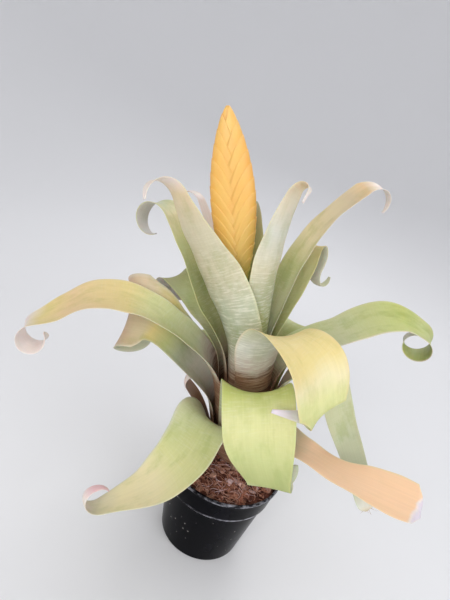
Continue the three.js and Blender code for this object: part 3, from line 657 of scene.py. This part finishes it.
        "curl": {"turn": 30, "radius": (40, 30), "taper": 3},
        "face": [(0.3, "silver"), (0.45, "paleYellow"), (0.6, "paleGreen"), (0.75, "greyGreen"),
                 (0.9, "greyGreen"), (0.97, "silver"), (1, "beige")],
        "back": [(0.3, "greyGreen"), (0.5, "lightGreen"), (0.8, "greyGreen"), (0.95, "silverGreen"),
                 (1, "beige")],
        "clouds": 0.6, "lines": 0.5, "margins": ("silverGreen", 0.3, 0.3),
    },
    "leafLeftRolled": {
        "node": "leaf_left_rolled", "facing": 174, "rank": 14, "sheath": 60,
        "midrib": [(26.5, 52, 0, 38, 0, 26.5), (29.4, 70, 0, 40, 0, 30.5), (36, 86, 1, 42, -8, 38),
                   (47, 100, 1, 43, -14, 50), (57, 113, 1, 43, -20, 60), (67, 123, 1, 44, -28, 60),
                   (77, 131, 2, 50, -38, 80), (88, 134, 4, 63, -44, 110)],
        "curl": {"turn": 250, "radius": (10, 9), "tilt": -4, "taper": 7},
        # the silver low on its face is its own tone made paler, painted light over the shade under the leaf
        # above it
        "face": [(0.47, "silver"), (0.55, "silverGreen"), (0.62, "lightGreen"), (0.7, "yellow"),
                 (0.76, "beige"), (0.88, "tan")],
        "back": [(0.25, "silverGreen"), (0.45, "greyGreen"), (0.7, "green"), (0.82, "greyGreen"),
                 (1, "silverGreen")],
        "clouds": 0.6, "lines": 0.5, "margins": ("silver", 0.4, 0.4),
    },
    "leafBackLeft": {
        "node": "leaf_back_left", "facing": 120, "rank": 15, "sheath": 58,
        "midrib": [(27.8, 50, 0, 40, 0, 27.8), (31.5, 68, 0, 41, 0, 33), (39, 83, 0, 43, 0, 44),
                   (53, 95, 0, 44, 0, 60), (71, 98, 0, 42, 0, 70), (92, 84, 0, 36, 0, 60),
                   (106, 50, 0, 28, 0, 40)],
        "curl": {"turn": 60, "radius": (22, 14)},
        "face": [(0.2, "green"), (0.5, "lightGreen"), (0.85, "paleYellow"), (1, "pinkWhite")],
        "back": [(0.2, "greyGreen"), (0.7, "silverGreen"), (1, "beige")],
        "clouds": 0.6, "lines": 0.7, "margins": ("cream", 0.3, 0.3),
    },
    "leafFront": {
        "node": "leaf_front", "facing": -82, "rank": 16, "sheath": 60,
        "midrib": [(28.6, 50, 0, 44, 0, 28.6), (31, 74, 1, 48, 0, 32), (35, 94, 3, 53, 0, 37),
                   (42, 101, 4, 54, 0, 42), (51, 92, 5, 54, 0, 48), (57, 73, 7, 51, 0, 60),
                   (60, 50, 12, 42, 0, 90), (61, 36, 17, 33, 0, 150)],
        "curl": {"turn": 180, "radius": (4, 4), "tail": 20, "slant": 32, "taper": 5, "channel": 150},
        "face": [(0.25, "green"), (0.42, "brightGreen"), (0.5, "brightGreen"), (0.58, "paleYellow"),
                 (0.64, "paleYellow"), (0.73, "lightGreen"), (0.84, "green"), (1, "silverGreen")],
        "back": [(0.3, "greyGreen"), (0.8, "silverGreen")],
        "clouds": 0.35, "lines": 0.6, "margins": ("lightGreen", 0.3, 0.3),
    },
    "leafFrontRight": {
        "node": "leaf_front_right", "facing": -33, "rank": 17, "sheath": 40,
        "midrib": [(27.5, 40, 0, 40, 0, 29), (36, 51, -2, 38, -4, 40), (47, 53, -5, 38, -6, 56),
                   (62, 55, -6, 34, -10, 70), (86, 54, -7, 28, -6, 70), (110, 54, -4, 30, 8, 60),
                   (130, 52, 1, 33, 16, 50), (142, 51, 4, 30, 18, 40)],
        "curl": {"turn": 110, "radius": (5, 4), "taper": 0.7},
        "face": [(0.2, "tan"), (0.4, "beige"), (0.5, "salmon"), (0.965, "salmon"), (0.975, "pinkWhite"),
                 (0.985, "lilac")],
        "back": [(0.3, "tan"), (0.7, "beige"), (1, "lilac")],
        "clouds": 0.15, "lines": 0.3, "margins": ("cream", 0.4, 0.2),
    },
    "leafFrontLeft": {
        "node": "leaf_front_left", "facing": -130, "rank": 18, "sheath": 44,
        "midrib": [(26.5, 38, 0, 44, 0, 30), (32, 52, 5, 50, 0, 40), (39, 66, 6, 56, 0, 50),
                   (46, 71, 7, 54, 0, 60), (62, 61, 10, 50, 0, 70), (82, 45, 8, 44, 0, 60),
                   (98, 35, 2, 33, 0, 60), (112, 31, -4, 23, 0, 50), (126, 28.5, -9, 15, 0, 40)],
        "curl": {"turn": -260, "radius": (10, 8), "taper": 0.8},
        "face": [(0.34, "paleGreen"), (0.44, "lightGreen"), (0.54, "paleYellow"), (0.64, "cream"),
                 (0.76, "cream"), (0.84, "sand"), (0.9, "pinkWhite"), (1, "pink")],
        "back": [(0.3, "silverGreen"), (0.7, "cream"), (0.84, "cream"), (0.92, "pinkWhite"),
                 (0.96, "pink")],
        "clouds": 0.5, "lines": 0.5, "margins": ("silver", 0.3, 0.6),
    },
    "leafDried": {
        "node": "leaf_dried", "facing": 178, "rank": 19, "sheath": 30,
        "midrib": [(28, 36, 1, 16, 0, 30), (33, 52, 3, 18, 0, 26), (40, 68, 6, 18, 0, 20),
                   (47, 82, 10, 14, 0, 16)],
        "curl": {"turn": -130, "radius": (6, 4)},
        "face": [(0.7, "brown"), (0.85, "mauve"), (1, "lilac")],
        "back": [(0.3, "darkBrown"), (0.7, "brown"), (0.85, "mauve"), (1, "pinkWhite")],
        "clouds": 0, "lines": 0.4, "margins": ("tan", 0.3, 0.3),
    },
    "leafBackLow": {
        "node": "leaf_back_low", "facing": 84, "rank": 20, "sheath": 44,
        "midrib": [(29, 36, 0, 42, 0, 32), (36, 51, 0, 43, 0, 42), (46, 64, 0, 45, 0, 56),
                   (61, 71, 0, 46, 0, 70), (79, 68, 0, 42, 0, 70), (98, 50, 0, 36, 0, 60),
                   (114, 22, 0, 26, 0, 40)],
        "curl": {"turn": 40, "radius": (24, 16)},
        "face": [(0.2, "green"), (0.5, "lightGreen"), (0.85, "peach"), (1, "pinkWhite")],
        "back": [(0.2, "greyGreen"), (0.7, "beige"), (1, "pinkWhite")],
        "clouds": 0.5, "lines": 0.6, "margins": ("cream", 0.3, 0.3),
    },
}
for name, leaf in leaves.items():
    makeLeaf(name, leaf)
print("leaves are made")

# The stem, which stands in the bark, carries the leaves and, drawn out thin, the spike.
# Sections: height, sway to the right and radius.
stem = {"sections": [(-34, 0, 4.45), (-28, 0, 6.45), (54, 0, 6.45), (74, 0, 5), (100, -2, 4.4),
                     (149.2, -9.5, 4)],
        "stations": 90, "sides": 32, "ringDepth": 0.03, "ringPace": 1.3}


def stemFinish():
    # fine brown and olive fibres that run up the stem
    finish = Finish("stemFinish")
    lines = finish.noise(finish.objectPlace(), (900, 900, 60), 4.0, 0.6)
    colour = finish.ramp(lines, [(0.3, "brown"), (0.55, "tan"), (0.75, "olive")])
    finish.surface(Base_Color=colour, Roughness=0.7)
    finish.relief(lines, 0.5, 0.0006)
    return finish.material


def makeStem():
    # circles along a line whose sway and radius follow the sections, with low rings where old leaves sat
    heights, sways, radii = np.array(stem["sections"]).T
    height = np.linspace(heights[0], heights[-1], stem["stations"])
    rings = 1 - stem["ringDepth"] * (1 + np.sin(height * stem["ringPace"])) / 2
    radius = np.interp(height, heights, radii) * rings
    turn = fullTurn(stem["sides"])
    x = np.interp(height, heights, sways)[:, None] + radius[:, None] * np.cos(turn)
    y = radius[:, None] * np.sin(turn)
    z = np.broadcast_to(height[:, None], x.shape)
    grid = stem["stations"], stem["sides"]
    faces = gridFaces(*grid).tolist() + endCaps(*grid)
    makePiece("flowerStem", fromRosette(np.stack([x, y, z], -1)), faces, stemFinish(), "stem", "stem")


makeStem()

# The flower spike: a flat core, and bracts in two ranks that clasp its edges and overlap up to its tip.
spike = {"foot": 150, "sway": -9.5, "lean": 7.7, "length": 141, "halfWidth": 16.5, "halfDepth": 7,
         "stalk": 4, "bracts": 26, "bractLength": 42, "lowestTip": 26, "rows": 26, "columns": 22,
         "wall": 0.3, "coreRows": 70, "coreSides": 40, "coreDepth": 0.42, "coreFull": (105, 132),
         "stalkEnds": (30, 70),
         "upwards": [(0.02, (196, 190, 100)), (0.16, (226, 200, 112)), (0.32, (244, 196, 104)),
                     (0.55, (246, 178, 84)), (0.8, (248, 180, 88)), (1, (246, 188, 106))],
         "glow": (246, 160, 70), "sides": (252, 198, 114), "edge": (255, 202, 156)}


def spikeReach(height):
    # the half width of the spike at a height over its foot
    share = np.clip(height / spike["length"], 0, 1)
    return spike["halfWidth"] * np.clip(np.sin(np.pi * share ** 1.15), 0, 1) ** (0.8 - 0.08 * share)


def spikeBody(height):
    # the same, but never thinner than the stalk low down
    return np.maximum(spikeReach(height), spike["stalk"] * (1 - smooth(height, *spike["stalkEnds"])))


def fromSpike(points):
    # set on the stem's top with the spike's own lean
    return fromRosette(leant(points, spike["lean"], (spike["sway"], 0, spike["foot"])))


def spikeFinish():
    # orange yellow, greener at the foot, with fine veins up each bract, paler, pinker edges and a paler
    # middle that is partly the spike's own tone and partly painted light over the shade between the bracts'
    # margins
    finish = Finish("spikeFinish")
    across, up, height = finish.parts(finish.mark("bract"))
    place = finish.objectPlace()
    drift = finish.math("MULTIPLY_ADD", finish.noise(place, (60, 60, 30)), 0.16, -0.08)
    colour = finish.ramp(finish.math("ADD", height, drift), spike["upwards"])
    glow = finish.spread(finish.noise(place, (90, 90, 45), 4.0), 0.4, 0.75, 0.0, 0.5)
    colour = finish.blend(glow, colour, spike["glow"])
    # paler towards the spike's middle: partly its own tone, partly painted light over the shade where the
    # bracts' margins meet
    sides = finish.spread(finish.math("ABSOLUTE", across), 0.35, 0.8, 0.0, 0.3)
    colour = finish.blend(sides, colour, spike["sides"])
    colour = finish.blend(finish.spread(up, 0.7, 1.0, 0.0, 0.1), colour, spike["edge"])
    metric = finish.add("CombineXYZ", {0: across, 1: up, 2: height}).outputs[0]
    finish.surface(Base_Color=colour, Roughness=0.45, Subsurface_Weight=0.2, Subsurface_Scale=0.004)
    finish.relief(finish.noise(metric, (34, 1.5, 3), 2.0), 0.25, 0.0004)
    return finish.material


def bractSheets():
    # A bract is a slice of the spike's flattened section: from a keel on the edge it runs over both faces to
    # margins that start beyond the middle and close on the tip. Each lies a little outside the next.
    number = np.arange(spike["bracts"])[:, None, None]
    sideways = np.where(number % 2 == 1, 1.0, -1.0)
    tip = spike["lowestTip"] + (spike["length"] - 1 - spike["lowestTip"]) * number / (spike["bracts"] - 1)
    size = 0.45 + 0.55 * spikeReach(tip) / spike["halfWidth"]
    up = np.linspace(0, 1, spike["rows"])[None, :, None]
    across = np.linspace(-1, 1, spike["columns"])[None, None, :]
    height = np.maximum(tip - spike["bractLength"] * size * (1 - up), 0.4 + 0.8 * up)
    body = 0.97 * spikeBody(height)
    layer = 0.94 + 0.06 * up ** 1.5
    keel = body * (0.93 + 0.07 * up ** 2)
    cover = (keel + 5) * (1 - up ** 1.6) ** 0.75
    x = sideways * (keel - cover * (1 - np.cos(across * np.pi / 2)))
    depth = spike["halfDepth"] * (body / spike["halfWidth"]) ** 0.75
    inward = np.clip(1 - (x / np.maximum(keel, 0.1)) ** 2, 0, 1) ** 0.5
    y = -np.sign(across) * depth * layer * inward * sideways
    points = np.stack([x, y, height + np.zeros_like(x)], -1)
    marks = np.stack(np.broadcast_arrays(across, up, height / spike["length"]), -1)
    grid = spike["rows"] * spike["columns"]
    faces = np.concatenate([gridFaces(spike["rows"], spike["columns"], False, k * grid)
                            for k in range(spike["bracts"])])
    return points.reshape(-1, 3), marks.reshape(-1, 3), faces.tolist()


def spikeCore(start):
    # flattened circles up the spike, closed at both ends, as points numbered from a start
    rows, sides = spike["coreRows"], spike["coreSides"]
    level = np.linspace(0.5, spike["length"] - 0.8, rows)[:, None]
    turn = fullTurn(sides)[None, :]
    wide = spikeBody(level) * (0.8 + 0.16 * smooth(level, *spike["coreFull"]))
    core = np.stack([wide * np.cos(turn), wide * np.sin(turn) * spike["coreDepth"], level + 0 * turn], -1)
    marks = np.stack(np.broadcast_arrays(0 * turn, 0 * level + 0.3, level / spike["length"]), -1)
    faces = gridFaces(rows, sides, True, start).tolist() + endCaps(rows, sides, start)
    return core.reshape(-1, 3), marks.reshape(-1, 3), faces


def makeSpike():
    points, marks, faces = bractSheets()
    core, coreMarks, coreFaces = spikeCore(len(points))
    piece = makePiece("flowerSpike", fromSpike(np.concatenate([points, core])), faces + coreFaces,
                      spikeFinish(), "spike", "spike", bract=np.concatenate([marks, coreMarks]))
    wall = piece.modifiers.new("bractWall", "SOLIDIFY")
    wall.thickness = spike["wall"] / 1000
    wall.offset = -1


makeSpike()
print("spike is made")

# The pot: radius and height round its wall, in millimetres, from the middle of its foot to its floor. The
# heights of the whitish lines on the band's edge and the lip, which are scuffs and a painted highlight, are
# in metres, as the material reads them.
pot = {"profile": [(0, 0), (36, 0), (37, 1), (46.5, 61.8), (48.5, 63), (50.8, 80.8), (52, 81.6), (52, 83.4),
                   (51.4, 84), (50, 84), (47.1, 64.4), (45.1, 61.8), (35.6, 3), (34.6, 2), (0, 2)],
       "height": 84, "sides": 160, "corner": 0.9, "longestStretch": 3.0,
       "waver": {"depth": 0.12, "from": 20},
       "dent": {"depth": 0.7, "from": 66, "degrees": 250, "width": 0.28},
       "bandStart": (0.0618, 0.063), "bandEnd": (0.0655, 0.0636), "lip": (0.0806, 0.0814),
       "black": (5, 5, 9), "film": (28, 28, 36), "scuffAndHighlight": (180, 180, 190), "dust": (190, 186, 180)}


def roundedProfile(corners, radius, arc=5):
    # each corner becomes a short curve: a quadratic bow between two points near it
    corners = np.array(corners, dtype=float)
    before, here, after = corners[:-2], corners[1:-1], corners[2:]
    cut = np.minimum(radius, 0.45 * np.minimum(np.linalg.norm(here - before, axis=1),
                                               np.linalg.norm(after - here, axis=1)))[:, None]
    first, last = here + unit(before - here) * cut, here + unit(after - here) * cut
    t = np.linspace(0, 1, arc)[None, :, None]
    bow = first[:, None] * (1 - t) ** 2 + 2 * here[:, None] * t * (1 - t) + last[:, None] * t ** 2
    return np.concatenate([corners[:1], bow.reshape(-1, 2), corners[-1:]])


def splitLong(profile, most):
    # extra points on long stretches, so that shading and dents stay even
    parts = [profile[:1]]
    for a, b in zip(profile[:-1], profile[1:]):
        count = max(1, math.ceil(np.linalg.norm(b - a) / most))
        parts.append(a + (b - a) * (np.arange(1, count + 1) / count)[:, None])
    return np.concatenate(parts)


def potFinish():
    # black moulded plastic: fine turning lines, whitish lines along the band's edge and the lip that are
    # partly scuffs and partly a painted highlight, and specks of dust
    finish = Finish("potFinish")
    place = finish.objectPlace()
    height = finish.parts(place)[2]
    # the band's edge and the lip: pale scuffs, and a painted highlight where light catches these edges
    bandEdge = finish.product(finish.spread(height, *pot["bandStart"]),
                              finish.spread(height, *pot["bandEnd"], 0.0, 0.9))
    wearAndHighlight = finish.math("ADD", bandEdge, finish.spread(height, *pot["lip"], 0.0, 0.6))
    scuffAndHighlight = finish.product(wearAndHighlight, finish.spread(finish.noise(place, (90, 90, 260), 6.0, 0.7), 0.42, 0.66))
    cells = finish.add("TexVoronoi", {"Vector": place, "Scale": 240.0}).outputs
    chance = finish.parts(cells["Color"])[0]
    dust = finish.product(finish.spread(cells["Distance"], 0.16, 0.08), finish.spread(chance, 0.74, 0.78))
    film = finish.spread(finish.noise(place, (35, 35, 22), 5.0, 0.65), 0.5, 0.8, 0.0, 0.3)
    colour = finish.blend(film, pot["black"], pot["film"])
    colour = finish.blend(scuffAndHighlight, colour, pot["scuffAndHighlight"])
    colour = finish.blend(finish.product(dust, 0.7), colour, pot["dust"])
    rough = finish.math("ADD", finish.spread(film, 0, 0.3, 0.24, 0.36), finish.product(scuffAndHighlight, 0.3))
    finish.surface(Base_Color=colour, Roughness=rough, IOR=1.18, Specular_IOR_Level=0.3)
    rings = finish.noise(place, (3, 3, 1400), 2.0)
    finish.relief(finish.math("ADD", finish.product(rings, 0.4), dust), 0.15, 0.0002)
    return finish.material


def makePot():
    # The profile turned round the axis, closed on it at both ends. Above its foot the wall wavers a little
    # and lies inside the CAD pot's by the same measure, and the lip has one slight dent.
    profile = splitLong(roundedProfile(pot["profile"], pot["corner"]), pot["longestStretch"])
    radius, height = profile[1:-1].T
    sides, rows, footRadius = pot["sides"], len(radius), pot["profile"][1][0]
    turn, dent, waver = fullTurn(sides), pot["dent"], pot["waver"]
    across = (turn - math.radians(dent["degrees"])) / dent["width"]
    hollow = np.exp(-across ** 2) * smooth(height, dent["from"], pot["height"])[:, None] * dent["depth"]
    swing = waver["depth"] * np.sin(3 * turn + 1) * smooth(height, waver["from"], pot["height"])[:, None]
    rounded = radius[:, None] - hollow + swing - waver["depth"] * (radius > footRadius)[:, None]
    points = np.stack([rounded * np.cos(turn), rounded * np.sin(turn), height[:, None] + 0 * turn], -1)
    middles = np.array([[0, 0, profile[0, 1]], [0, 0, profile[-1, 1]]])
    k = np.arange(sides)
    after, base, last = (k + 1) % sides, rows * sides, (rows - 1) * sides
    faces = gridFaces(rows, sides).tolist()
    faces += np.stack([k * 0 + base, after, k], -1).tolist()
    faces += np.stack([k * 0 + base + 1, last + k, last + after], -1).tolist()
    points = np.concatenate([points.reshape(-1, 3), middles])
    makePiece("nurseryPot", points, faces, potFinish(), "pot", "pot")


makePot()
print("pot is made")

# The bark mix: a rough fill, loose chips on and in it, and thin fibres. The fill's wall is given by radius
# and height up the inside of the pot, and the waves of its top by length and height.
bark = {"wall": [(0.01, 2.6), (33, 2.6), (34.6, 4), (44.4, 61.8), (46.4, 66), (48.6, 75.4), (47.9, 76.6)],
        "level": 77.2, "radius": 47.3, "sides": 96, "rings": 44, "bump": 1.1, "seed": 11,
        "waves": ((22, 0.5), (11, 0.4), (6, 0.4), (3.2, 0.3), (1.9, 0.2)),
        "tones": [(0.0, (84, 50, 44)), (0.25, (132, 82, 68)), (0.5, (172, 114, 94)),
                  (0.75, (202, 144, 120)), (0.92, (222, 178, 162)), (1.0, (230, 200, 206))]}
chips = {"count": 760, "longest": 8.5, "shortest": 2.2, "widths": (0.4, 0.8), "depths": (0.16, 0.34),
         "levels": (-0.9, 1.1), "tilt": 0.3, "squareness": (0.3, 0.7), "rough": 0.07, "reach": 46,
         "wall": 48.6, "stemHole": 8, "brightness": (0.55, 1.3), "rows": 8, "columns": 12, "seed": 23}
fibres = {"count": 620, "length": 19, "shares": (0.35, 1), "bend": 1.4, "lift": (0.6, 2.2), "arch": (0, 2.0),
          "radius": 0.17, "thickness": (0.6, 1.6), "reach": 42, "wall": 48, "tones": (0.55, 1),
          "brightness": 1.1, "stations": 14, "seed": 5}


def barkFinish():
    # reddish brown bark: each chip has its own tone, with grain, pale dusty faces and dark hollows
    finish = Finish("barkFinish")
    pick, bright, _ = finish.parts(finish.mark("tone"))
    grain = finish.noise(finish.objectPlace(), (520, 520, 520), 5.0, 0.7)
    shade = finish.product(finish.spread(grain, 0.3, 0.72, 0.55, 1.15), bright)
    colour = finish.shaded(finish.ramp(pick, bark["tones"]), shade)
    finish.surface(Base_Color=colour, Roughness=0.9, Specular_IOR_Level=0.2)
    finish.relief(grain, 0.8, 0.0008)
    return finish.material


def makeBarkPiece(name, points, faces, pick, bright):
    # every point's mark says which tone it takes and how bright it is
    tone = np.stack(np.broadcast_arrays(pick, bright, 0.0), -1)
    tone = np.broadcast_to(tone, points.shape)
    return makePiece(name, points, faces, barkMaterial, "bark", "bark", tone=tone)


def roughness(x, y, seed):
    # a few crossed waves of random direction, from slow to fine
    random = np.random.RandomState(seed)
    total = np.zeros_like(x)
    for wavelength, height in bark["waves"]:
        for angle, phase in random.uniform(0, 2 * np.pi, (3, 2)):
            ahead = x * math.cos(angle) + y * math.sin(angle)
            total += height / 3 * np.sin(ahead * 2 * np.pi / wavelength + phase)
    return total


def makeBark():
    # rings from the middle of the foot, up along the pot's wall and back over a bumpy top to the middle
    inward = np.linspace(bark["radius"], 0.01, bark["rings"])
    top = np.stack([inward, np.full(bark["rings"], bark["level"] - 0.5)], -1)
    profile = np.concatenate([np.array(bark["wall"]), top])
    turn = fullTurn(bark["sides"])
    x, y = profile[:, :1] * np.cos(turn), profile[:, :1] * np.sin(turn)
    bumpy = (np.arange(len(profile)) >= len(bark["wall"]) - 1)[:, None]
    z = profile[:, 1:] + bark["bump"] * roughness(x, y, bark["seed"]) * bumpy
    grid = len(profile), bark["sides"]
    pick = 0.2 + 0.25 * roughness(x, y, bark["seed"] + 1)
    bright = 0.75 + 0.2 * roughness(x, y, 3)
    makeBarkPiece("barkFill", np.stack([x, y, z], -1), gridFaces(*grid).tolist() + endCaps(*grid), pick,
                  bright)


def boxy(wave, power):
    # a wave with flatter tops and steeper sides
    return np.sign(wave) * np.abs(wave) ** power


def tumbled(points, tip, rock, spin):
    # turned about Y, then about X, then about Z
    x, y, z = np.moveaxis(points, -1, 0)
    x, z = x * np.cos(tip) + z * np.sin(tip), z * np.cos(tip) - x * np.sin(tip)
    y, z = y * np.cos(rock) - z * np.sin(rock), z * np.cos(rock) + y * np.sin(rock)
    x, y = x * np.cos(spin) - y * np.sin(spin), x * np.sin(spin) + y * np.cos(spin)
    return np.stack([x, y, z], -1)


def makeChips():
    # Every chip is a squashed ball with nearly flat sides, roughened a little, turned and laid at random.
    random = np.random.RandomState(chips["seed"])
    count, rows, columns = chips["count"], chips["rows"], chips["columns"]
    reach = chips["reach"] * np.sqrt(random.uniform(0, 1, count))
    angle = random.uniform(0, 2 * np.pi, count)
    size = chips["shortest"] + (chips["longest"] - chips["shortest"]) * random.uniform(0, 1, count) ** 2
    width = size * random.uniform(*chips["widths"], count)
    form = np.stack([size, width, size * random.uniform(*chips["depths"], count)], -1) / 2
    level = bark["level"] + random.uniform(*chips["levels"], count) + 0.2 * form[:, 2]
    place = np.stack([reach * np.cos(angle), reach * np.sin(angle), level], -1)
    spin = random.uniform(0, 2 * np.pi, count)[:, None, None]
    tip, rock = random.normal(0, chips["tilt"], (2, count, 1, 1))
    power = random.uniform(*chips["squareness"], count)[:, None, None]
    lat = np.linspace(-np.pi / 2, np.pi / 2, rows)[None, :, None]
    lon = fullTurn(columns)[None, None, :]
    flat = boxy(np.cos(lat), power)
    ball = np.stack(np.broadcast_arrays(flat * boxy(np.cos(lon), power), flat * boxy(np.sin(lon), power),
                                        boxy(np.sin(lat), power) + 0 * lon), -1)
    uneven = 1 + random.normal(0, chips["rough"], ball.shape) * np.cos(lat)[..., None]
    ball = ball * uneven * form[:, None, None]
    points = tumbled(ball, tip, rock, spin) + place[:, None, None]
    pick = random.uniform(0, 1, count)
    bright = random.uniform(*chips["brightness"], count)
    inPot = np.hypot(points[..., 0], points[..., 1]).max(axis=(1, 2)) < chips["wall"]
    offStem = np.hypot(place[:, 0] - rosette["heart"][0], place[:, 1]) > chips["stemHole"]
    keep = inPot & offStem
    faces = np.concatenate([gridFaces(rows, columns, True, k * rows * columns) for k in range(keep.sum())])
    piece = makeBarkPiece("barkChips", points[keep], faces.tolist(), pick[keep, None, None],
                          bright[keep, None, None])
    mergeDoubles(piece)


def tubes(lines, thick, up, sides=5):
    # closed round tubes along many lines at once, with their radius at every station and a way that is up
    along = unit(np.gradient(lines, axis=1))
    aside = unit(np.cross(up, along))
    over = np.cross(along, aside)
    turn = fullTurn(sides)[:, None]
    ring = aside[:, :, None] * np.cos(turn) + over[:, :, None] * np.sin(turn)
    points = lines[:, :, None] + ring * thick[..., None, None]
    count, stations = lines.shape[:2]
    starts = range(0, count * stations * sides, stations * sides)
    faces = np.concatenate([gridFaces(stations, sides, True, start) for start in starts]).tolist()
    for start in starts:
        faces += endCaps(stations, sides, start)
    return points, faces


def makeFibres():
    # thin tubes round gentle random arcs that lie over the chips and dip in at both ends
    random = np.random.RandomState(fibres["seed"])
    count, stations = fibres["count"], fibres["stations"]
    t = np.linspace(-0.5, 0.5, stations)[None, :]
    reach = fibres["reach"] * np.sqrt(random.uniform(0, 1, count))[:, None]
    angle, heading = random.uniform(0, 2 * np.pi, (2, count, 1))
    length = fibres["length"] * random.uniform(*fibres["shares"], (count, 1))
    way = heading + random.normal(0, fibres["bend"], (count, 1)) * t
    step = length / (stations - 1)
    x = reach * np.cos(angle) + np.cumsum(np.cos(way), 1) * step - np.cos(heading) * length / 2
    y = reach * np.sin(angle) + np.cumsum(np.sin(way), 1) * step - np.sin(heading) * length / 2
    z = bark["level"] + random.uniform(*fibres["lift"], (count, 1))
    z = z + random.uniform(*fibres["arch"], (count, 1)) * (0.4 - 4 * t ** 2)
    thick = fibres["radius"] * random.uniform(*fibres["thickness"], (count, 1)) * (1 - (2 * t) ** 6 * 0.7)
    keep = np.hypot(x, y).max(axis=1) < fibres["wall"]
    points, faces = tubes(np.stack([x, y, z], -1)[keep], thick[keep], (0, 0, 1))
    pick = random.uniform(*fibres["tones"], count)[keep, None, None]
    makeBarkPiece("barkFibres", points, faces, pick, fibres["brightness"])


barkMaterial = barkFinish()
makeBark()
makeChips()
makeFibres()
print("bark is made")

wisps = {"count": 7, "shortest": 2, "longest": 5, "radius": 0.16, "fan": 0.35, "bend": 0.45, "stations": 14,
         "seed": 4}


def wispFinish():
    # dry and brown, with a fine grain
    finish = Finish("wispFinish")
    grain = finish.noise(finish.objectPlace(), (600, 600, 200), 4.0)
    finish.surface(Base_Color=finish.ramp(grain, [(0.35, "brown"), (0.6, "tan")]), Roughness=0.8)
    return finish.material


def makeWisps(leaf):
    # dry threads that fray from a leaf's tip, each bent its own way from a start across the edge
    random = np.random.RandomState(wisps["seed"])
    point, across, _, width, _ = leafStations(leaf)
    count, t = wisps["count"], np.linspace(0, 1, wisps["stations"])[None, :, None]
    ahead = unit(point[-1] - point[-4])
    start = point[-1] - ahead + across[-1] * random.uniform(-0.5, 0.5, (count, 1)) * width[-2]
    way = unit(ahead + random.normal(0, wisps["fan"], (count, 3)))[:, None]
    bend = random.normal(0, wisps["bend"], (count, 1, 3))
    length = random.uniform(wisps["shortest"], wisps["longest"], (count, 1, 1))
    lines = start[:, None] + (way * t + bend * t ** 2) * length
    thick = wisps["radius"] * np.broadcast_to(1 - 0.7 * t[..., 0], (count, wisps["stations"]))
    points, faces = tubes(fromRosette(lines), thick, (0.3, 1, 0.2))
    makePiece("dryWisps", points, faces, wispFinish(), leaf["node"], "leaf")


makeWisps(leaves["leafRightHanging"])
print("wisps are made")

# A pale floor that curves up far behind the plant, and soft light from a large lamp, two fills and the sky.
floor = {"radius": 1.1, "wall": 2.6, "height": 3.2, "sides": 96, "rings": 10, "bowRings": 14,
         "colour": (230, 230, 232)}
lamps = {
    "keyLamp": {"place": (-0.4, -1.2, 0.75), "size": 0.8, "power": 8.9, "colour": (1.0, 0.98, 0.95)},
    "fillLamp": {"place": (0.85, -0.8, 0.5), "size": 0.9, "power": 4.8, "colour": (0.95, 0.97, 1.0)},
    "backLamp": {"place": (0.2, 1.0, 1.1), "size": 0.8, "power": 5, "colour": (1.0, 1.0, 1.0)},
}
lampAim = (0, 0, 0.16)
sky = {"colour": (0.9, 0.91, 0.93), "strength": 0.84}


def makeFloor():
    # a flat disc, a quarter round and a wall, turned about the vertical
    flat = np.linspace(0.001, floor["radius"], floor["rings"])
    bow = np.linspace(0, np.pi / 2, floor["bowRings"])[1:]
    bend = floor["wall"] - floor["radius"]
    radius = np.concatenate([flat, floor["radius"] + bend * np.sin(bow), [floor["wall"]]])[:, None]
    height = np.concatenate([flat * 0, bend * (1 - np.cos(bow)), [floor["height"]]])[:, None]
    turn = fullTurn(floor["sides"])
    points = np.stack([radius * np.cos(turn), radius * np.sin(turn), height + 0 * turn], -1)
    faces = gridFaces(len(radius), floor["sides"]).tolist() + [list(range(floor["sides"]))]
    mesh = bpy.data.meshes.new("paleFloor")
    mesh.from_pydata(points.reshape(-1, 3), [], faces)
    finish = Finish("floorFinish")
    finish.surface(Base_Color=linear(floor["colour"]), Roughness=0.85, Specular_IOR_Level=0.1)
    addObject("paleFloor", mesh, finish.material)


def makeLamps():
    # round lamps that all look at the plant's middle
    for name, lamp in lamps.items():
        data = bpy.data.lights.new(name, "AREA")
        data.shape = "DISK"
        data.size = lamp["size"]
        data.energy = lamp["power"]
        data.color = lamp["colour"]
        made = bpy.data.objects.new(name, data)
        made.location = lamp["place"]
        aim = Vector(lampAim) - Vector(lamp["place"])
        made.rotation_euler = aim.to_track_quat("-Z", "Y").to_euler()
        bpy.context.collection.objects.link(made)


def makeSky():
    world = bpy.data.worlds.new("softSky")
    world.use_nodes = True
    back = world.node_tree.nodes["Background"]
    back.inputs["Color"].default_value = (*sky["colour"], 1)
    back.inputs["Strength"].default_value = sky["strength"]
    bpy.context.scene.world = world


makeFloor()
makeLamps()
makeSky()
print("floor and lights are set")
